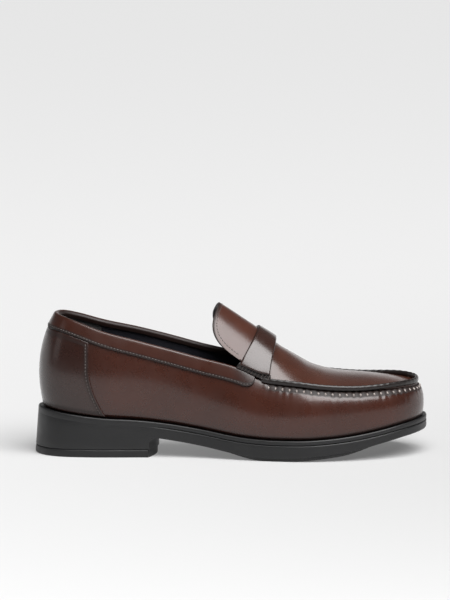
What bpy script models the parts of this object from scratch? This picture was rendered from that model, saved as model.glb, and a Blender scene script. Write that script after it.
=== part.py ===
"""Moccasin penny loafer, right shoe: sole unit, lasted upper, apron, tongue, strap, collar and linings.

Metres, +X to the toe, +Y to the medial side, +Z up. The origin is on the ground under the middle of the shoe.
A place round the shoe is u, from 0 at the back of the heel, along the lateral side, 0.5 at the toe, to 1.
A place up the wall is v, from 0 at the feather edge to 1 at the topline or at the apron seam.
"""

import bmesh
import bpy
import numpy as np

MM = 0.001

# Overall sizes
LENGTH = 300 * MM
BALL_WIDTH = 106 * MM
TOE_WIDTH = 84 * MM
WAIST_WIDTH = 65 * MM
HEEL_WIDTH = 68 * MM

# Sole
SOLE_THICKNESS = 13.9 * MM
TREAD_STEP = 2.0 * MM
TREAD_DEPTH = 2.6 * MM
TREAD_INSET = 4.0 * MM
HEEL_RISE = 20.4 * MM
TOE_SPRING = 12.6 * MM
TOP_LIFT = 5.8 * MM
HEEL_LENGTH = 86 * MM
BREAST_ROUND = 5 * MM
HEEL_LEAN = 2.6 * MM
WELT_THICKNESS = 3.7 * MM
WELT_WIDTH = 12 * MM

# Gaps and layers
GAP = 0.3 * MM
BAND_GAP = 0.6 * MM
LEATHER = 1.2 * MM
LINING = 0.7 * MM
BAND = 0.9 * MM
STIFFENER = 1.2 * MM
PUFF = 0.8 * MM
APRON = 1.6 * MM
TONGUE = 1.8 * MM
STRAP = 2.0 * MM
THREAD = 0.9 * MM
MARGIN = 12 * MM

# Bottom build
BOARD = 2.0 * MM
SOCK = 1.5 * MM
CUSHION = 2.5 * MM
CUSHION_LENGTH = 80 * MM
SHANK_BOARD = 1.6 * MM
SHANK = 1.2 * MM
SHANK_WIDTH = 14 * MM
SHANK_LENGTH = 104 * MM
RIVET_RADIUS = 2.0 * MM
RIVET_HEAD = 3.6 * MM
RIVET_HEAD_HEIGHT = 0.8 * MM
RIVET_INSET = 10 * MM
SHANK_AHEAD = 8 * MM
WAIST_SPLIT = -8 * MM
CUSHION_EDGE = 0.6 * MM
CUSHION_TAPER = 22 * MM

# Upper
WALL_SCALE = 1.0
BAND_HEIGHT = 10.5 * MM
BAND_FOLD = 6 * MM
EAR_ROUND = 11 * MM
EAR_BACK = 14.5 * MM
APRON_OVERLAP = 1.2 * MM
APRON_SEAT = 0.7 * MM
APRON_LINING_INSET = 4.5 * MM
STRAP_LIFT = 5.8 * MM
STRAP_TUCK = 0.8 * MM
TONGUE_FREE = 29.2 * MM
TONGUE_LEAN = 11.7 * MM
TONGUE_NARROWING = 0.14
TONGUE_SIDE = 3 * MM
STRAP_LEAN = 2.9 * MM
STRAP_FRONT = 182.7 * MM
STRAP_WIDTH = 13.7 * MM
FLEX_GAP = 0.6 * MM
COUNTER_LOW = 53 * MM
COUNTER_HIGH = 40 * MM
HEEL_GRIP_LENGTH = 50 * MM
LINING_JOINT = 175 * MM

AROUND = 56
BEYOND = 10 * MM
CUTTER_LOW = -20 * MM
CUTTER_HIGH = 90 * MM
UP = 7
ARCH_ANGLE = np.radians(64)
ARCH_ANGLE_TOE = np.radians(42)

# The sole's whole outline: share of the length from the heel, the width it scales with, share of that width
OUTLINE = (
    (0.0, HEEL_WIDTH, 0.0441),
    (0.0167, HEEL_WIDTH, -0.2279),
    (0.07, HEEL_WIDTH, -0.4044),
    (0.1733, HEEL_WIDTH, -0.4632),
    (0.2933, WAIST_WIDTH, -0.4769),
    (0.4167, WAIST_WIDTH, -0.5385),
    (0.5333, BALL_WIDTH, -0.4245),
    (0.65, BALL_WIDTH, -0.4953),
    (0.7433, BALL_WIDTH, -0.4934),
    (0.8467, TOE_WIDTH, -0.5393),
    (0.9333, TOE_WIDTH, -0.381),
    (0.9843, TOE_WIDTH, -0.1667),
    (1.0, TOE_WIDTH, 0.0714),
    (0.986, TOE_WIDTH, 0.2976),
    (0.9383, TOE_WIDTH, 0.4702),
    (0.8567, TOE_WIDTH, 0.5714),
    (0.7533, BALL_WIDTH, 0.4981),
    (0.6667, BALL_WIDTH, 0.4906),
    (0.5667, BALL_WIDTH, 0.4151),
    (0.45, WAIST_WIDTH, 0.5154),
    (0.3333, WAIST_WIDTH, 0.4769),
    (0.2133, HEEL_WIDTH, 0.5074),
    (0.1033, HEEL_WIDTH, 0.5118),
    (0.0267, HEEL_WIDTH, 0.3603),
)

# Values at twelve places round the shoe, in millimetres or as shares
LEAN_ROUND = (1, 0.8, 0, 0, 0, 0, 0, 0, 0, 0, 0, 0.8)
FEATHER_INSET = (4.9, 4.9, 3.6, 3.2, 3.2, 3.2, 3.2, 3.2, 3.2, 3.2, 3.6, 4.9)
TOP_INSET = (8.2, 7.5, 0.2, 5.0, 6.0, 6.0, 5.5, 6.5, 7.0, 5.6, 0.2, 4.6)
LOW_BULGE = (5.5, 5.0, 3.5, 3.5, 3.0, 2.5, 2.0, 2.5, 3.0, 2.5, 1.5, 4.0)
HIGH_BULGE = (13.5, 12.0, 4.5, 6.5, 8.5, 8.5, 7.5, 8.5, 9.0, 6.5, 4.0, 10.0)
HIGH_DROP = (0.32, 0.32, 0.34, 0.27, 0.12, 0.09, 0.08, 0.09, 0.12, 0.27, 0.34, 0.32)
MEDIAL_LIFT = (0, 0, 0, 0, 0, 0, 0, 0, 0.3, 2.0, 3.5, 1.5)
LOW_RISE = 0.31

# Heights along the shoe: share of the length from the heel, then a share or millimetres
HEEL_RISE_ALONG = (
    (0, 1), (0.063, 0.877), (0.167, 0.706), (0.267, 0.632), (0.343, 0.515), (0.42, 0.348),
    (0.523, 0.10), (0.60, 0.015), (0.66, 0), (1, 0),
)
TOE_SPRING_ALONG = ((0, 0), (0.62, 0), (0.68, 0.03), (0.803, 0.27), (0.88, 0.55), (0.93, 0.77), (1, 1))
EDGE_ALONG = ((0, 0.91), (0.42, 0.91), (0.62, 1), (0.727, 0.9), (0.803, 0.835), (0.88, 0.75), (1, 0.7))
WALL_HEIGHT_ALONG = (
    (0.05, 71.6), (0.07, 71.0), (0.113, 68.6), (0.167, 64.7), (0.293, 57.6), (0.42, 52.8), (0.517, 50.4),
    (0.58, 44.6), (0.623, 43.1), (0.677, 41.1), (0.727, 38.2), (0.803, 34.1), (0.88, 30.4), (0.97, 25.8),
)
CREST_RISE_ALONG = (
    (0.466, 41.4), (0.523, 34.9), (0.563, 31.8), (0.609, 25.7), (0.628, 22.3), (0.65, 19.0), (0.677, 15.0),
    (0.70, 11.8), (0.727, 9.8), (0.753, 8.4), (0.777, 7.8), (0.803, 7.6), (0.843, 7.1), (0.90, 5.6),
    (0.94, 3.6), (0.97, 1.8),
)


def smoothstep(low, high, value):
    t = np.clip((np.asarray(value, float) - low) / (high - low), 0, 1)
    return t * t * (3 - 2 * t)


def closed_curve(knots):
    """A periodic cubic spline through evenly numbered knots, as a function of u from 0 to 1."""
    knots = np.asarray(knots, float)
    count = len(knots)
    one = np.eye(count)
    system = 4 * one + np.roll(one, 1, 0) + np.roll(one, -1, 0)
    bend = np.linalg.solve(system, 6 * (np.roll(knots, 1, 0) - 2 * knots + np.roll(knots, -1, 0)))

    def at(u):
        place = np.mod(np.asarray(u, float), 1.0) * count
        k = np.floor(place).astype(int) % count
        after = (k + 1) % count
        f = place - np.floor(place)
        f = f[..., None] if knots.ndim > 1 else f
        g = 1 - f
        return g * knots[k] + f * knots[after] + ((g**3 - g) * bend[k] + (f**3 - f) * bend[after]) / 6

    return at


def along(stations):
    """A smooth value along the shoe through stations, by cubic Hermite pieces, as a function of x."""
    share, value = np.array(stations, float).T
    x = (share - 0.5) * LENGTH
    slope = np.gradient(value, x)

    def at(q):
        q = np.clip(q, x[0], x[-1])
        k = np.clip(np.searchsorted(x, q, side="right") - 1, 0, len(x) - 2)
        w = x[k + 1] - x[k]
        t = (q - x[k]) / w
        low = (2 * t**3 - 3 * t**2 + 1) * value[k] + (t**3 - 2 * t**2 + t) * slope[k] * w
        high = (3 * t**2 - 2 * t**3) * value[k + 1] + (t**3 - t**2) * slope[k + 1] * w
        return low + high

    return at


heel_share = along(HEEL_RISE_ALONG)
toe_share = along(TOE_SPRING_ALONG)
edge_share = along(EDGE_ALONG)
wall_height = along(WALL_HEIGHT_ALONG)
crest_rise = along(CREST_RISE_ALONG)
raw_outline = closed_curve([((share - 0.5) * LENGTH, width * across) for share, width, across in OUTLINE])
lean_round = closed_curve(LEAN_ROUND)
feather_inset = closed_curve(FEATHER_INSET)
top_inset = closed_curve(TOP_INSET)
low_bulge = closed_curve(LOW_BULGE)
high_bulge = closed_curve(HIGH_BULGE)
high_drop = closed_curve(HIGH_DROP)
medial_lift = closed_curve(MEDIAL_LIFT)


def outline_middle():
    dense = raw_outline(np.linspace(0, 1, 2400, endpoint=False))
    return (dense.max(0) + dense.min(0)) / 2


MIDDLE = outline_middle()


def footprint(u):
    """The outline of the sole on the ground, centred on the origin."""
    return raw_outline(u) - MIDDLE


def outward(u):
    """The level direction square to the outline, pointing out."""
    step = 1e-4
    run = raw_outline(np.asarray(u) + step) - raw_outline(np.asarray(u) - step)
    run /= np.linalg.norm(run, axis=-1, keepdims=True)
    return np.stack([run[..., 1], -run[..., 0]], axis=-1)


def rim(x):
    """Height of the top of the welt."""
    return SOLE_THICKNESS + TREAD_STEP + HEEL_RISE * heel_share(x) + TOE_SPRING * toe_share(x)


def underside(x):
    """Height of the lower edge of the sole's side, from the waist to the toe."""
    return rim(x) - SOLE_THICKNESS * edge_share(x)


SEAT = SOLE_THICKNESS + TREAD_STEP + HEEL_RISE
BREAST = HEEL_LENGTH - LENGTH / 2


def sole_loop(u, z, inset=0.0):
    """The sole's outline at height z: the back of the heel leans in as it rises."""
    lean = HEEL_LEAN * np.clip(lean_round(u), 0, 1) * z / SEAT
    return footprint(u) - outward(u) * (lean + inset)[..., None]


def feather(u):
    """Plan of the feather edge, where the upper meets the welt."""
    x = footprint(u)[..., 0]
    return sole_loop(u, rim(x), feather_inset(u) * MM)


def top_rail(u):
    """The wall's top: the topline behind the strap and the apron seam ahead of it."""
    plan = feather(u) - outward(u) * (top_inset(u) * MM)[..., None]
    x = plan[..., 0]
    z = rim(x) + (wall_height(x) * WALL_SCALE + medial_lift(u)) * MM
    return np.concatenate([plan, z[..., None]], axis=-1)


def wall(u, v):
    """Outer face of the wall: a cubic Bezier section from the feather edge to the top rail."""
    u, v = np.broadcast_arrays(np.asarray(u, float), np.asarray(v, float))
    plan, out = feather(u), outward(u)
    top = top_rail(u)
    low_z = rim(plan[..., 0]) + GAP
    height = top[..., 2] - low_z
    p0 = np.concatenate([plan, low_z[..., None]], axis=-1)
    p1_plan = plan + out * (low_bulge(u) * MM)[..., None]
    p1 = np.concatenate([p1_plan, (low_z + height * LOW_RISE)[..., None]], axis=-1)
    p2_plan = top[..., :2] + out * (high_bulge(u) * MM)[..., None]
    p2 = np.concatenate([p2_plan, (top[..., 2] - height * high_drop(u))[..., None]], axis=-1)
    t = v[..., None]
    s = 1 - t
    return s**3 * p0 + 3 * s * s * t * p1 + 3 * s * t * t * p2 + t**3 * top


def normals(surface, a, b):
    """Unit normals of a surface of two parameters, by central differences."""
    step = 1e-4
    run = np.cross(
        surface(a + step, b) - surface(a - step, b),
        surface(a, b + step) - surface(a, b - step),
    )
    return run / np.linalg.norm(run, axis=-1, keepdims=True)


def wall_at(u, v, out):
    """The wall's face moved out by a distance, or in by a negative one."""
    u, v, out = np.broadcast_arrays(np.asarray(u, float), np.asarray(v, float), np.asarray(out, float))
    return wall(u, v) + normals(wall, u, v) * out[..., None]


def spread(s):
    """u from an even parameter: closer together at the heel and the toe."""
    return s - 0.4 * np.sin(4 * np.pi * s) / (4 * np.pi)


def between(first, last, count):
    """Places from u = first to last that follow the spread of the whole ring."""
    s = np.linspace(-1, 2, 6001)
    low, high = np.interp((first, last), spread(s), s)
    return spread(np.linspace(low, high, count))


def lines(first, last):
    """The ring's own places between two ends, with the ends, so that layers share their facets."""
    ring = spread(np.arange(-AROUND, 2 * AROUND) / AROUND)
    clear = 0.35 / AROUND
    return np.concatenate([[first], ring[(ring > first + clear) & (ring < last - clear)], [last]])


def u_at_x(x, medial, v=1.0):
    """Where on one side the wall's row v has this x."""
    u = np.linspace(0.02, 0.48, 400)
    u = 1 - u if medial else u
    return float(np.interp(x, wall(u, v)[..., 0], u))


def v_below_top(u, distance):
    """v at a distance down the wall from its top."""
    v = np.linspace(0, 1, 81)
    result = []
    for place, reach in np.broadcast(u, distance):
        line = wall(place, v)
        steps = np.linalg.norm(np.diff(line, axis=0), axis=-1)
        left = np.concatenate([np.cumsum(steps[::-1])[::-1], [0]])
        result.append(np.interp(-reach, -left, v))
    return np.array(result)


def v_at_rise(u, rise):
    """v at a height above the feather edge."""
    v = np.linspace(0, 1, 81)
    result = []
    for place in np.atleast_1d(u):
        z = wall(place, v)[:, 2]
        result.append(np.interp(rise, z - z[0], v))
    return np.array(result)


def rail_point(x, medial):
    """The top rail's point at this x on one side."""
    return top_rail(np.array(u_at_x(x, medial)))


def crest_height(x):
    """Height of the top of the apron and of the surface that carries the tongue and strap."""
    return rim(x) + (wall_height(x) * WALL_SCALE + crest_rise(x)) * MM


STRAP_CREST_FRONT = STRAP_FRONT - LENGTH / 2
STRAP_CREST_REAR = STRAP_CREST_FRONT - STRAP_WIDTH


def instep(x, b):
    """Surface under the tongue and strap: x is the crest's x, b goes from -1 lateral to 1 medial.

    Each section is an arch in a plane that leans back, from the crest down to a point above the top rail.
    """
    x, b = np.broadcast_arrays(np.asarray(x, float), np.asarray(b, float))
    result = np.empty(x.shape + (3,))
    for index in np.ndindex(x.shape):
        result[index] = instep_point(x[index], b[index])
    return result


def instep_edge(x, medial):
    """The end of one arch, at b = 1 or -1."""
    held = max(x, STRAP_CREST_REAR)
    share = (held - STRAP_CREST_REAR) / STRAP_WIDTH
    lean = TONGUE_LEAN + (STRAP_LEAN - TONGUE_LEAN) * share
    point = rail_point(held - lean, medial)
    point[2] += STRAP_LIFT
    point[1] -= np.sign(point[1]) * STRAP_TUCK
    free = held - x
    slope = (crest_height(STRAP_CREST_REAR - TONGUE_FREE) - crest_height(STRAP_CREST_REAR)) / TONGUE_FREE
    point[0] -= free
    point[2] += free * slope
    point[1] *= 1 - TONGUE_NARROWING * free / TONGUE_FREE
    return point


def arc(b, angle):
    """Share across and share down of a circular arch that turns by this angle on each side of its crest."""
    return np.sin(b * angle) / np.sin(angle), (1 - np.cos(b * angle)) / (1 - np.cos(angle))


EDGES = {}


def instep_point(x, b):
    medial = b > 0
    key = (round(x, 7), medial)
    if key not in EDGES:
        EDGES[key] = instep_edge(x, medial)
    edge = EDGES[key]
    other_key = (round(x, 7), not medial)
    if other_key not in EDGES:
        EDGES[other_key] = instep_edge(x, not medial)
    middle = (edge[1] + EDGES[other_key][1]) / 2
    across, drop = arc(b, ARCH_ANGLE)
    crest = crest_height(x)
    return (
        x + (edge[0] - x) * drop,
        middle + (edge[1] - middle) * abs(across),
        crest + (edge[2] - crest) * drop,
    )


def instep_at(x, b, out):
    """The instep surface moved out by a distance."""
    x, b = np.broadcast_arrays(np.asarray(x, float), np.asarray(b, float))
    step_x, step_b = 0.2 * MM, 0.01
    run_x = instep(x + step_x, b) - instep(x - step_x, b)
    run_b = instep(x, b + step_b) - instep(x, b - step_b)
    across = np.cross(run_x, run_b)
    across /= np.linalg.norm(across, axis=-1, keepdims=True)
    return instep(x, b) + across * out


# Blender objects


def clear_scene():
    for obj in list(bpy.data.objects):
        bpy.data.objects.remove(obj, do_unlink=True)


def collection(name, hidden=False):
    made = bpy.data.collections.new(name)
    bpy.context.scene.collection.children.link(made)
    made.hide_render = hidden
    return made


def material(name, color, roughness, metallic=0.0):
    made = bpy.data.materials.new(name)
    made.use_nodes = True
    shader = made.node_tree.nodes["Principled BSDF"]
    shader.inputs["Base Color"].default_value = (*color, 1)
    shader.inputs["Roughness"].default_value = roughness
    shader.inputs["Metallic"].default_value = metallic
    made.diffuse_color = (*color, 1)
    return made


def mesh_object(name, points, faces, look, home):
    """An object with its normals turned out and its doubled points joined."""
    mesh = bpy.data.meshes.new(name)
    mesh.from_pydata([tuple(point) for point in points], [], faces)
    work = bmesh.new()
    work.from_mesh(mesh)
    bmesh.ops.remove_doubles(work, verts=work.verts, dist=0.01 * MM)
    work.to_mesh(mesh)
    work.free()
    obj = bpy.data.objects.new(name, mesh)
    home.objects.link(obj)
    if look:
        mesh.materials.append(look)
    return obj


def turn_out(obj):
    work = bmesh.new()
    work.from_mesh(obj.data)
    bmesh.ops.triangulate(work, faces=work.faces)
    bmesh.ops.recalc_face_normals(work, faces=work.faces)
    work.to_mesh(obj.data)
    work.free()


def grid_faces(rows, columns, wrap):
    last = rows if wrap else rows - 1
    faces = []
    for i in range(last):
        for j in range(columns - 1):
            k = (i + 1) % rows
            faces.append((i * columns + j, k * columns + j, k * columns + j + 1, i * columns + j + 1))
    return faces


def leather_sheet(name, points, thickness, look, home, wrap=False):
    """An open grid of points on the outer face, thickened inwards."""
    rows, columns = points.shape[:2]
    obj = mesh_object(name, points.reshape(-1, 3), grid_faces(rows, columns, wrap), look, home)
    wall_modifier = obj.modifiers.new("Thickness", "SOLIDIFY")
    wall_modifier.thickness = thickness
    wall_modifier.offset = -1
    wall_modifier.use_even_offset = True
    obj.data.shade_smooth()
    return obj


def ring_loft(name, rings, look, home):
    """A closed solid through a row of closed rings with the same number of points, capped at both ends."""
    rings = np.asarray(rings)
    count, around = rings.shape[:2]
    faces = []
    for i in range(count - 1):
        for j in range(around):
            k = (j + 1) % around
            faces.append((i * around + j, i * around + k, (i + 1) * around + k, (i + 1) * around + j))
    faces.append(tuple(range(around)))
    faces.append(tuple(range((count - 1) * around, count * around)))
    obj = mesh_object(name, rings.reshape(-1, 3), faces, look, home)
    turn_out(obj)
    return obj


def drum(name, inset, low, high, look, home):
    """A prism on the sole's outline moved in, between two heights."""
    u = spread(np.arange(AROUND) / AROUND)
    rings = []
    for z in (low, high):
        plan = sole_loop(u, z, np.broadcast_to(np.asarray(inset, float), u.shape))
        rings.append(np.concatenate([plan, np.full((AROUND, 1), z)], axis=-1))
    return ring_loft(name, rings, look, home)


def slab(name, x, low, high, half_width, look, home):
    """A solid across the shoe between two heights that change along it."""
    rings = []
    for place, bottom, top in zip(x, low, high):
        rings.append(
            (
                (place, -half_width, bottom),
                (place, half_width, bottom),
                (place, half_width, top),
                (place, -half_width, top),
            )
        )
    return ring_loft(name, rings, look, home)


def combine(obj, other, operation):
    step = obj.modifiers.new(operation.title() + " " + other.name, "BOOLEAN")
    step.operation = operation
    step.object = other
    step.solver = "EXACT"


def as_cutter(obj):
    obj.hide_render = True
    obj.display_type = "WIRE"
    return obj


def layer(name, x, low, high, inset, look):
    """A flat piece of the bottom: the outline moved in, between two heights above each place."""
    obj = drum(name, inset, CUTTER_LOW, CUTTER_HIGH, look, PARTS)
    wide = BALL_WIDTH + TOE_WIDTH
    combine(obj, as_cutter(slab(name + "_band", x, low(x), high(x), wide, None, CUTTERS)), "INTERSECT")
    return obj


def tube(name, points, radius, look, sides=1):
    """A thread or cord through its points, made a closed mesh."""
    curve = bpy.data.curves.new(name, "CURVE")
    curve.dimensions = "3D"
    curve.bevel_depth = radius
    curve.bevel_resolution = sides
    curve.use_fill_caps = True
    spline = curve.splines.new("POLY")
    spline.points.add(len(points) - 1)
    for target, point in zip(spline.points, points):
        target.co = (*point, 1)
    guide = bpy.data.objects.new(name + "_guide", curve)
    PARTS.objects.link(guide)
    graph = bpy.context.evaluated_depsgraph_get()
    mesh = bpy.data.meshes.new_from_object(guide.evaluated_get(graph))
    bpy.data.objects.remove(guide, do_unlink=True)
    mesh.name = name
    work = bmesh.new()
    work.from_mesh(mesh)
    bmesh.ops.remove_doubles(work, verts=work.verts, dist=0.01 * MM)
    bmesh.ops.recalc_face_normals(work, faces=work.faces)
    work.to_mesh(mesh)
    work.free()
    mesh.materials.clear()
    mesh.materials.append(look)
    obj = bpy.data.objects.new(name, mesh)
    PARTS.objects.link(obj)
    return obj


def cylinder(name, center, radius, low, high, look, home):
    work = bmesh.new()
    bmesh.ops.create_cone(
        work, cap_ends=True, segments=20, radius1=radius, radius2=radius, depth=high - low
    )
    mesh = bpy.data.meshes.new(name)
    work.to_mesh(mesh)
    work.free()
    obj = bpy.data.objects.new(name, mesh)
    obj.location = (center[0], center[1], (low + high) / 2)
    home.objects.link(obj)
    if look:
        mesh.materials.append(look)
    return obj


# Sole and bottom pieces


def sole_stations(first, last, count=24):
    return np.linspace(first, last, count)


def make_outsole():
    """Moulded unit: heel block, waist and forefoot in one, with the tread a step below its edge."""
    end = LENGTH / 2 + BEYOND
    heel_x = sole_stations(-end, BREAST, 14)
    fore_x = BREAST + np.concatenate([np.array([0.05, 0.6, 1.8, 3.6]) * MM, [6 * MM]])
    fore_x = np.concatenate([fore_x, sole_stations(BREAST + 10 * MM, end, 24)])
    from_breast = np.clip((fore_x - BREAST) / BREAST_ROUND, 0, 1)
    rounding = BREAST_ROUND * (1 - np.sqrt(1 - (1 - from_breast) ** 2))
    low = np.concatenate([np.full(heel_x.shape, TOP_LIFT + GAP), underside(fore_x) - rounding])
    x = np.concatenate([heel_x, fore_x])
    high = rim(x) - WELT_THICKNESS - GAP
    body = drum("outsole", 0.0, CUTTER_LOW, CUTTER_HIGH, BLACK_RUBBER, PARTS)
    wide = BALL_WIDTH + TOE_WIDTH
    combine(body, as_cutter(slab("outsole_side", x, low, high, wide, None, CUTTERS)), "INTERSECT")
    tread_x = sole_stations(LENGTH * -0.03, LENGTH * 0.39, 22)
    tread_low = np.maximum(underside(tread_x) - TREAD_DEPTH, 0)
    tread = as_cutter(drum("tread", TREAD_INSET, CUTTER_LOW, CUTTER_HIGH, None, CUTTERS))
    side = as_cutter(slab("tread_side", tread_x, tread_low, underside(tread_x) + 3 * MM, wide, None, CUTTERS))
    combine(tread, side, "INTERSECT")
    combine(body, tread, "UNION")


def make_top_lift():
    def low(x):
        return np.zeros_like(x)

    def high(x):
        return np.full_like(x, TOP_LIFT)

    layer("heel_top_lift", np.array([-LENGTH, BREAST]), low, high, 0.0, TOP_LIFT_RUBBER)


def whole_length():
    end = LENGTH / 2 + BEYOND
    return sole_stations(-end, end)


def make_welt():
    def low(x):
        return rim(x) - WELT_THICKNESS

    layer("welt", whole_length(), low, rim, 0.0, BLACK_RUBBER)
    hole = as_cutter(drum("welt_hole", WELT_WIDTH, CUTTER_LOW, CUTTER_HIGH, None, CUTTERS))
    combine(bpy.data.objects["welt"], hole, "DIFFERENCE")


def above_rim(height):
    def at(x):
        return rim(x) + height

    return at


BOARD_LOW = GAP + LEATHER + GAP
BOARD_HIGH = BOARD_LOW + BOARD
CAVITY_LOW = GAP - WELT_THICKNESS - GAP
CAVITY_HIGH = BOARD_LOW - GAP


def feather_mm():
    return feather_inset(spread(np.arange(AROUND) / AROUND)) * MM


def make_bottom():
    """Filler, shank and boards, in the hollow that the turned-in margin leaves."""
    hollow = feather_mm() + MARGIN + 1 * MM
    end = LENGTH / 2 + BEYOND
    layer(
        "bottom_filler", sole_stations(WAIST_SPLIT, end), above_rim(CAVITY_LOW), above_rim(CAVITY_HIGH), hollow, CORK
    )
    layer(
        "shank_board",
        sole_stations(-end, WAIST_SPLIT - GAP),
        above_rim(CAVITY_LOW),
        above_rim(CAVITY_LOW + SHANK_BOARD),
        hollow,
        FIBRE_BOARD,
    )
    board = feather_mm() + LEATHER + GAP
    layer("insole_board", whole_length(), above_rim(BOARD_LOW), above_rim(BOARD_HIGH), board, FIBRE_BOARD)
    make_shank()
    make_cushion_and_sock()


def make_shank():
    """Steel strip on its board, held by two rivets in drilled holes."""
    front = WAIST_SPLIT - SHANK_AHEAD
    x = sole_stations(front - SHANK_LENGTH, front, 16)
    low = rim(x) + CAVITY_LOW + SHANK_BOARD + GAP
    center = (footprint(np.array(0.2))[1] + footprint(np.array(0.8))[1]) / 2
    rings = []
    for place, bottom in zip(x, low):
        left, right = center - SHANK_WIDTH / 2, center + SHANK_WIDTH / 2
        rings.append(
            (
                (place, left, bottom),
                (place, right, bottom),
                (place, right, bottom + SHANK),
                (place, left, bottom + SHANK),
            )
        )
    strip = ring_loft("steel_shank", rings, STEEL, PARTS)
    places = (("rear", front - SHANK_LENGTH + RIVET_INSET), ("front", front - RIVET_INSET))
    for name, place in places:
        base = rim(place) + CAVITY_LOW
        top = base + SHANK_BOARD + GAP + SHANK + 1.3 * MM
        hole = as_cutter(
            cylinder(
                "hole_" + name, (place, center), RIVET_RADIUS + GAP, base - 5 * MM, top + 5 * MM, None, CUTTERS
            )
        )
        combine(strip, hole, "DIFFERENCE")
        combine(bpy.data.objects["shank_board"], hole, "DIFFERENCE")
        rivet = cylinder(
            "shank_rivet_" + name, (place, center), RIVET_RADIUS, base + 0.6 * MM, top, STEEL, PARTS
        )
        slope = abs(float(rim(place + RIVET_HEAD) - rim(place - RIVET_HEAD))) / 2
        head_low = base + SHANK_BOARD + GAP + SHANK + slope + GAP
        head = as_cutter(
            cylinder(
                "head_" + name, (place, center), RIVET_HEAD, head_low, head_low + RIVET_HEAD_HEIGHT, None, CUTTERS
            )
        )
        combine(rivet, head, "UNION")


def make_cushion_and_sock():
    """Foam pad at the heel and the sock that rises over it."""
    inside = feather_mm() + LEATHER + STIFFENER + LINING + 4 * GAP
    end = LENGTH / 2 + BEYOND
    pad_end = CUSHION_LENGTH - LENGTH / 2
    pad_x = sole_stations(-end, pad_end, 24)

    def pad_high(x):
        taper = 1 - smoothstep(pad_end - CUSHION_TAPER, pad_end, x)
        return rim(x) + BOARD_HIGH + GAP + CUSHION_EDGE + (CUSHION - CUSHION_EDGE) * taper

    layer("heel_cushion", pad_x, above_rim(BOARD_HIGH + GAP), pad_high, inside, FOAM)

    def sock_low(x):
        raised = 1 - smoothstep(pad_end - 20 * MM, pad_end + 14 * MM, x)
        return rim(x) + BOARD_HIGH + GAP + (CUSHION + GAP) * raised + 0.7 * MM * raised * (1 - raised) * 4

    def sock_high(x):
        return sock_low(x) + SOCK

    layer("sock_liner", whole_length(), sock_low, sock_high, inside, SOCK_LEATHER)


# Upper


def make_vamp_wall():
    """Wall and quarters in one, with the margin turned in under the board."""
    u = spread(np.arange(AROUND) / AROUND)[:, None]
    reach = np.array([1.0, 0.5])[None, :] * MARGIN
    plan = feather(u) - outward(u) * reach[..., None]
    z = rim(plan[..., 0]) + GAP
    margin = np.concatenate([plan, z[..., None]], axis=-1)
    side = wall(u, np.linspace(0, 1, UP + 1)[None, :])
    leather_sheet("vamp_wall", np.concatenate([margin, side], axis=1), LEATHER, UPPER_LEATHER, PARTS, wrap=True)


def ear_ends():
    x = STRAP_CREST_FRONT - EAR_BACK
    return u_at_x(x, False), u_at_x(x, True) - 1


def band_depths(u):
    """How far the band reaches down the wall: even, with rounded ends at the ears."""
    line = top_rail(u)
    steps = np.linalg.norm(np.diff(line, axis=0), axis=-1)
    reach = np.concatenate([[0], np.cumsum(steps)])
    from_end = np.minimum(reach, reach[-1] - reach)
    left = 1 - np.clip(from_end / EAR_ROUND, 0, 1)
    return 0.22 * BAND_HEIGHT + 0.78 * BAND_HEIGHT * np.sqrt(1 - left**2)


def make_collar_band():
    """Strip folded over the topline: an outer leg, a round crown and a short inner leg."""
    lateral, medial = ear_ends()
    middle = lines(medial, lateral)
    extra = np.array([0.15, 0.45])
    first = middle[0] + (middle[1] - middle[0]) * extra
    last = middle[-1] - (middle[-1] - middle[-2]) * extra[::-1]
    u = np.concatenate([middle[:1], first, middle[1:-1], last, middle[-1:]])
    depth = band_depths(u)
    out = BAND_GAP + BAND
    inside = LEATHER + LINING + GAP + BAND_GAP + BAND
    radius = (out + inside) / 2
    outer_v = v_below_top(u, depth)
    inner_v = v_below_top(u, depth * BAND_FOLD / BAND_HEIGHT)
    rows = []
    for place, low, inner in zip(u, outer_v, inner_v):
        outer = wall_at(place, np.linspace(low, 1, 4), out)
        face = normals(wall, np.array(place), np.array(1.0))
        up = wall(place, 1.0) - wall(place, 0.98)
        up /= np.linalg.norm(up)
        center = wall(place, 1.0) + face * (out - radius) + up * GAP
        angle = np.linspace(0, np.pi, 6)[1:-1, None]
        crown = center + radius * (np.cos(angle) * face + np.sin(angle) * up)
        inner_leg = wall_at(place, np.linspace(1, inner, 3), -inside)
        rows.append(np.concatenate([outer, crown, inner_leg]))
    leather_sheet("collar_band", np.array(rows), BAND, COLLAR_LEATHER, PARTS)


def counter_front(v):
    """x of the cover's front edge up the wall: it sweeps back as it rises."""
    sweep = np.sin(np.clip(v / 0.65, 0, 1) * np.pi / 2)
    return COUNTER_LOW - (COUNTER_LOW - COUNTER_HIGH) * sweep - LENGTH / 2


def make_counter_cover():
    columns = 21
    rows = []
    for share in np.linspace(0.02, 1, 7):
        x = counter_front(share)
        lateral, medial = u_at_x(x, False, share), u_at_x(x, True, share) - 1
        u = between(medial, lateral, columns)
        top = v_below_top(u, np.full(columns, BAND_HEIGHT + GAP + 0.2 * MM))
        rows.append(wall_at(u, share * top, GAP + BAND))
    points = np.array(rows).transpose(1, 0, 2)
    leather_sheet("heel_counter_cover", points, BAND, COUNTER_LEATHER, PARTS)


def lining_low(u):
    return v_at_rise(u, BOARD_HIGH + 2 * GAP)


def lining_panel(name, first, last, depth, top, thickness, look, rows=6):
    """A panel inside the wall: depth is a function of v, top its upper v."""
    u = lines(first, last)
    low = lining_low(u)
    share = np.linspace(0, 1, rows)
    v = low[:, None] + (top - low)[:, None] * share
    leather_sheet(name, wall_at(u[:, None], v, -depth(v)), thickness, look, PARTS)


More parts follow.
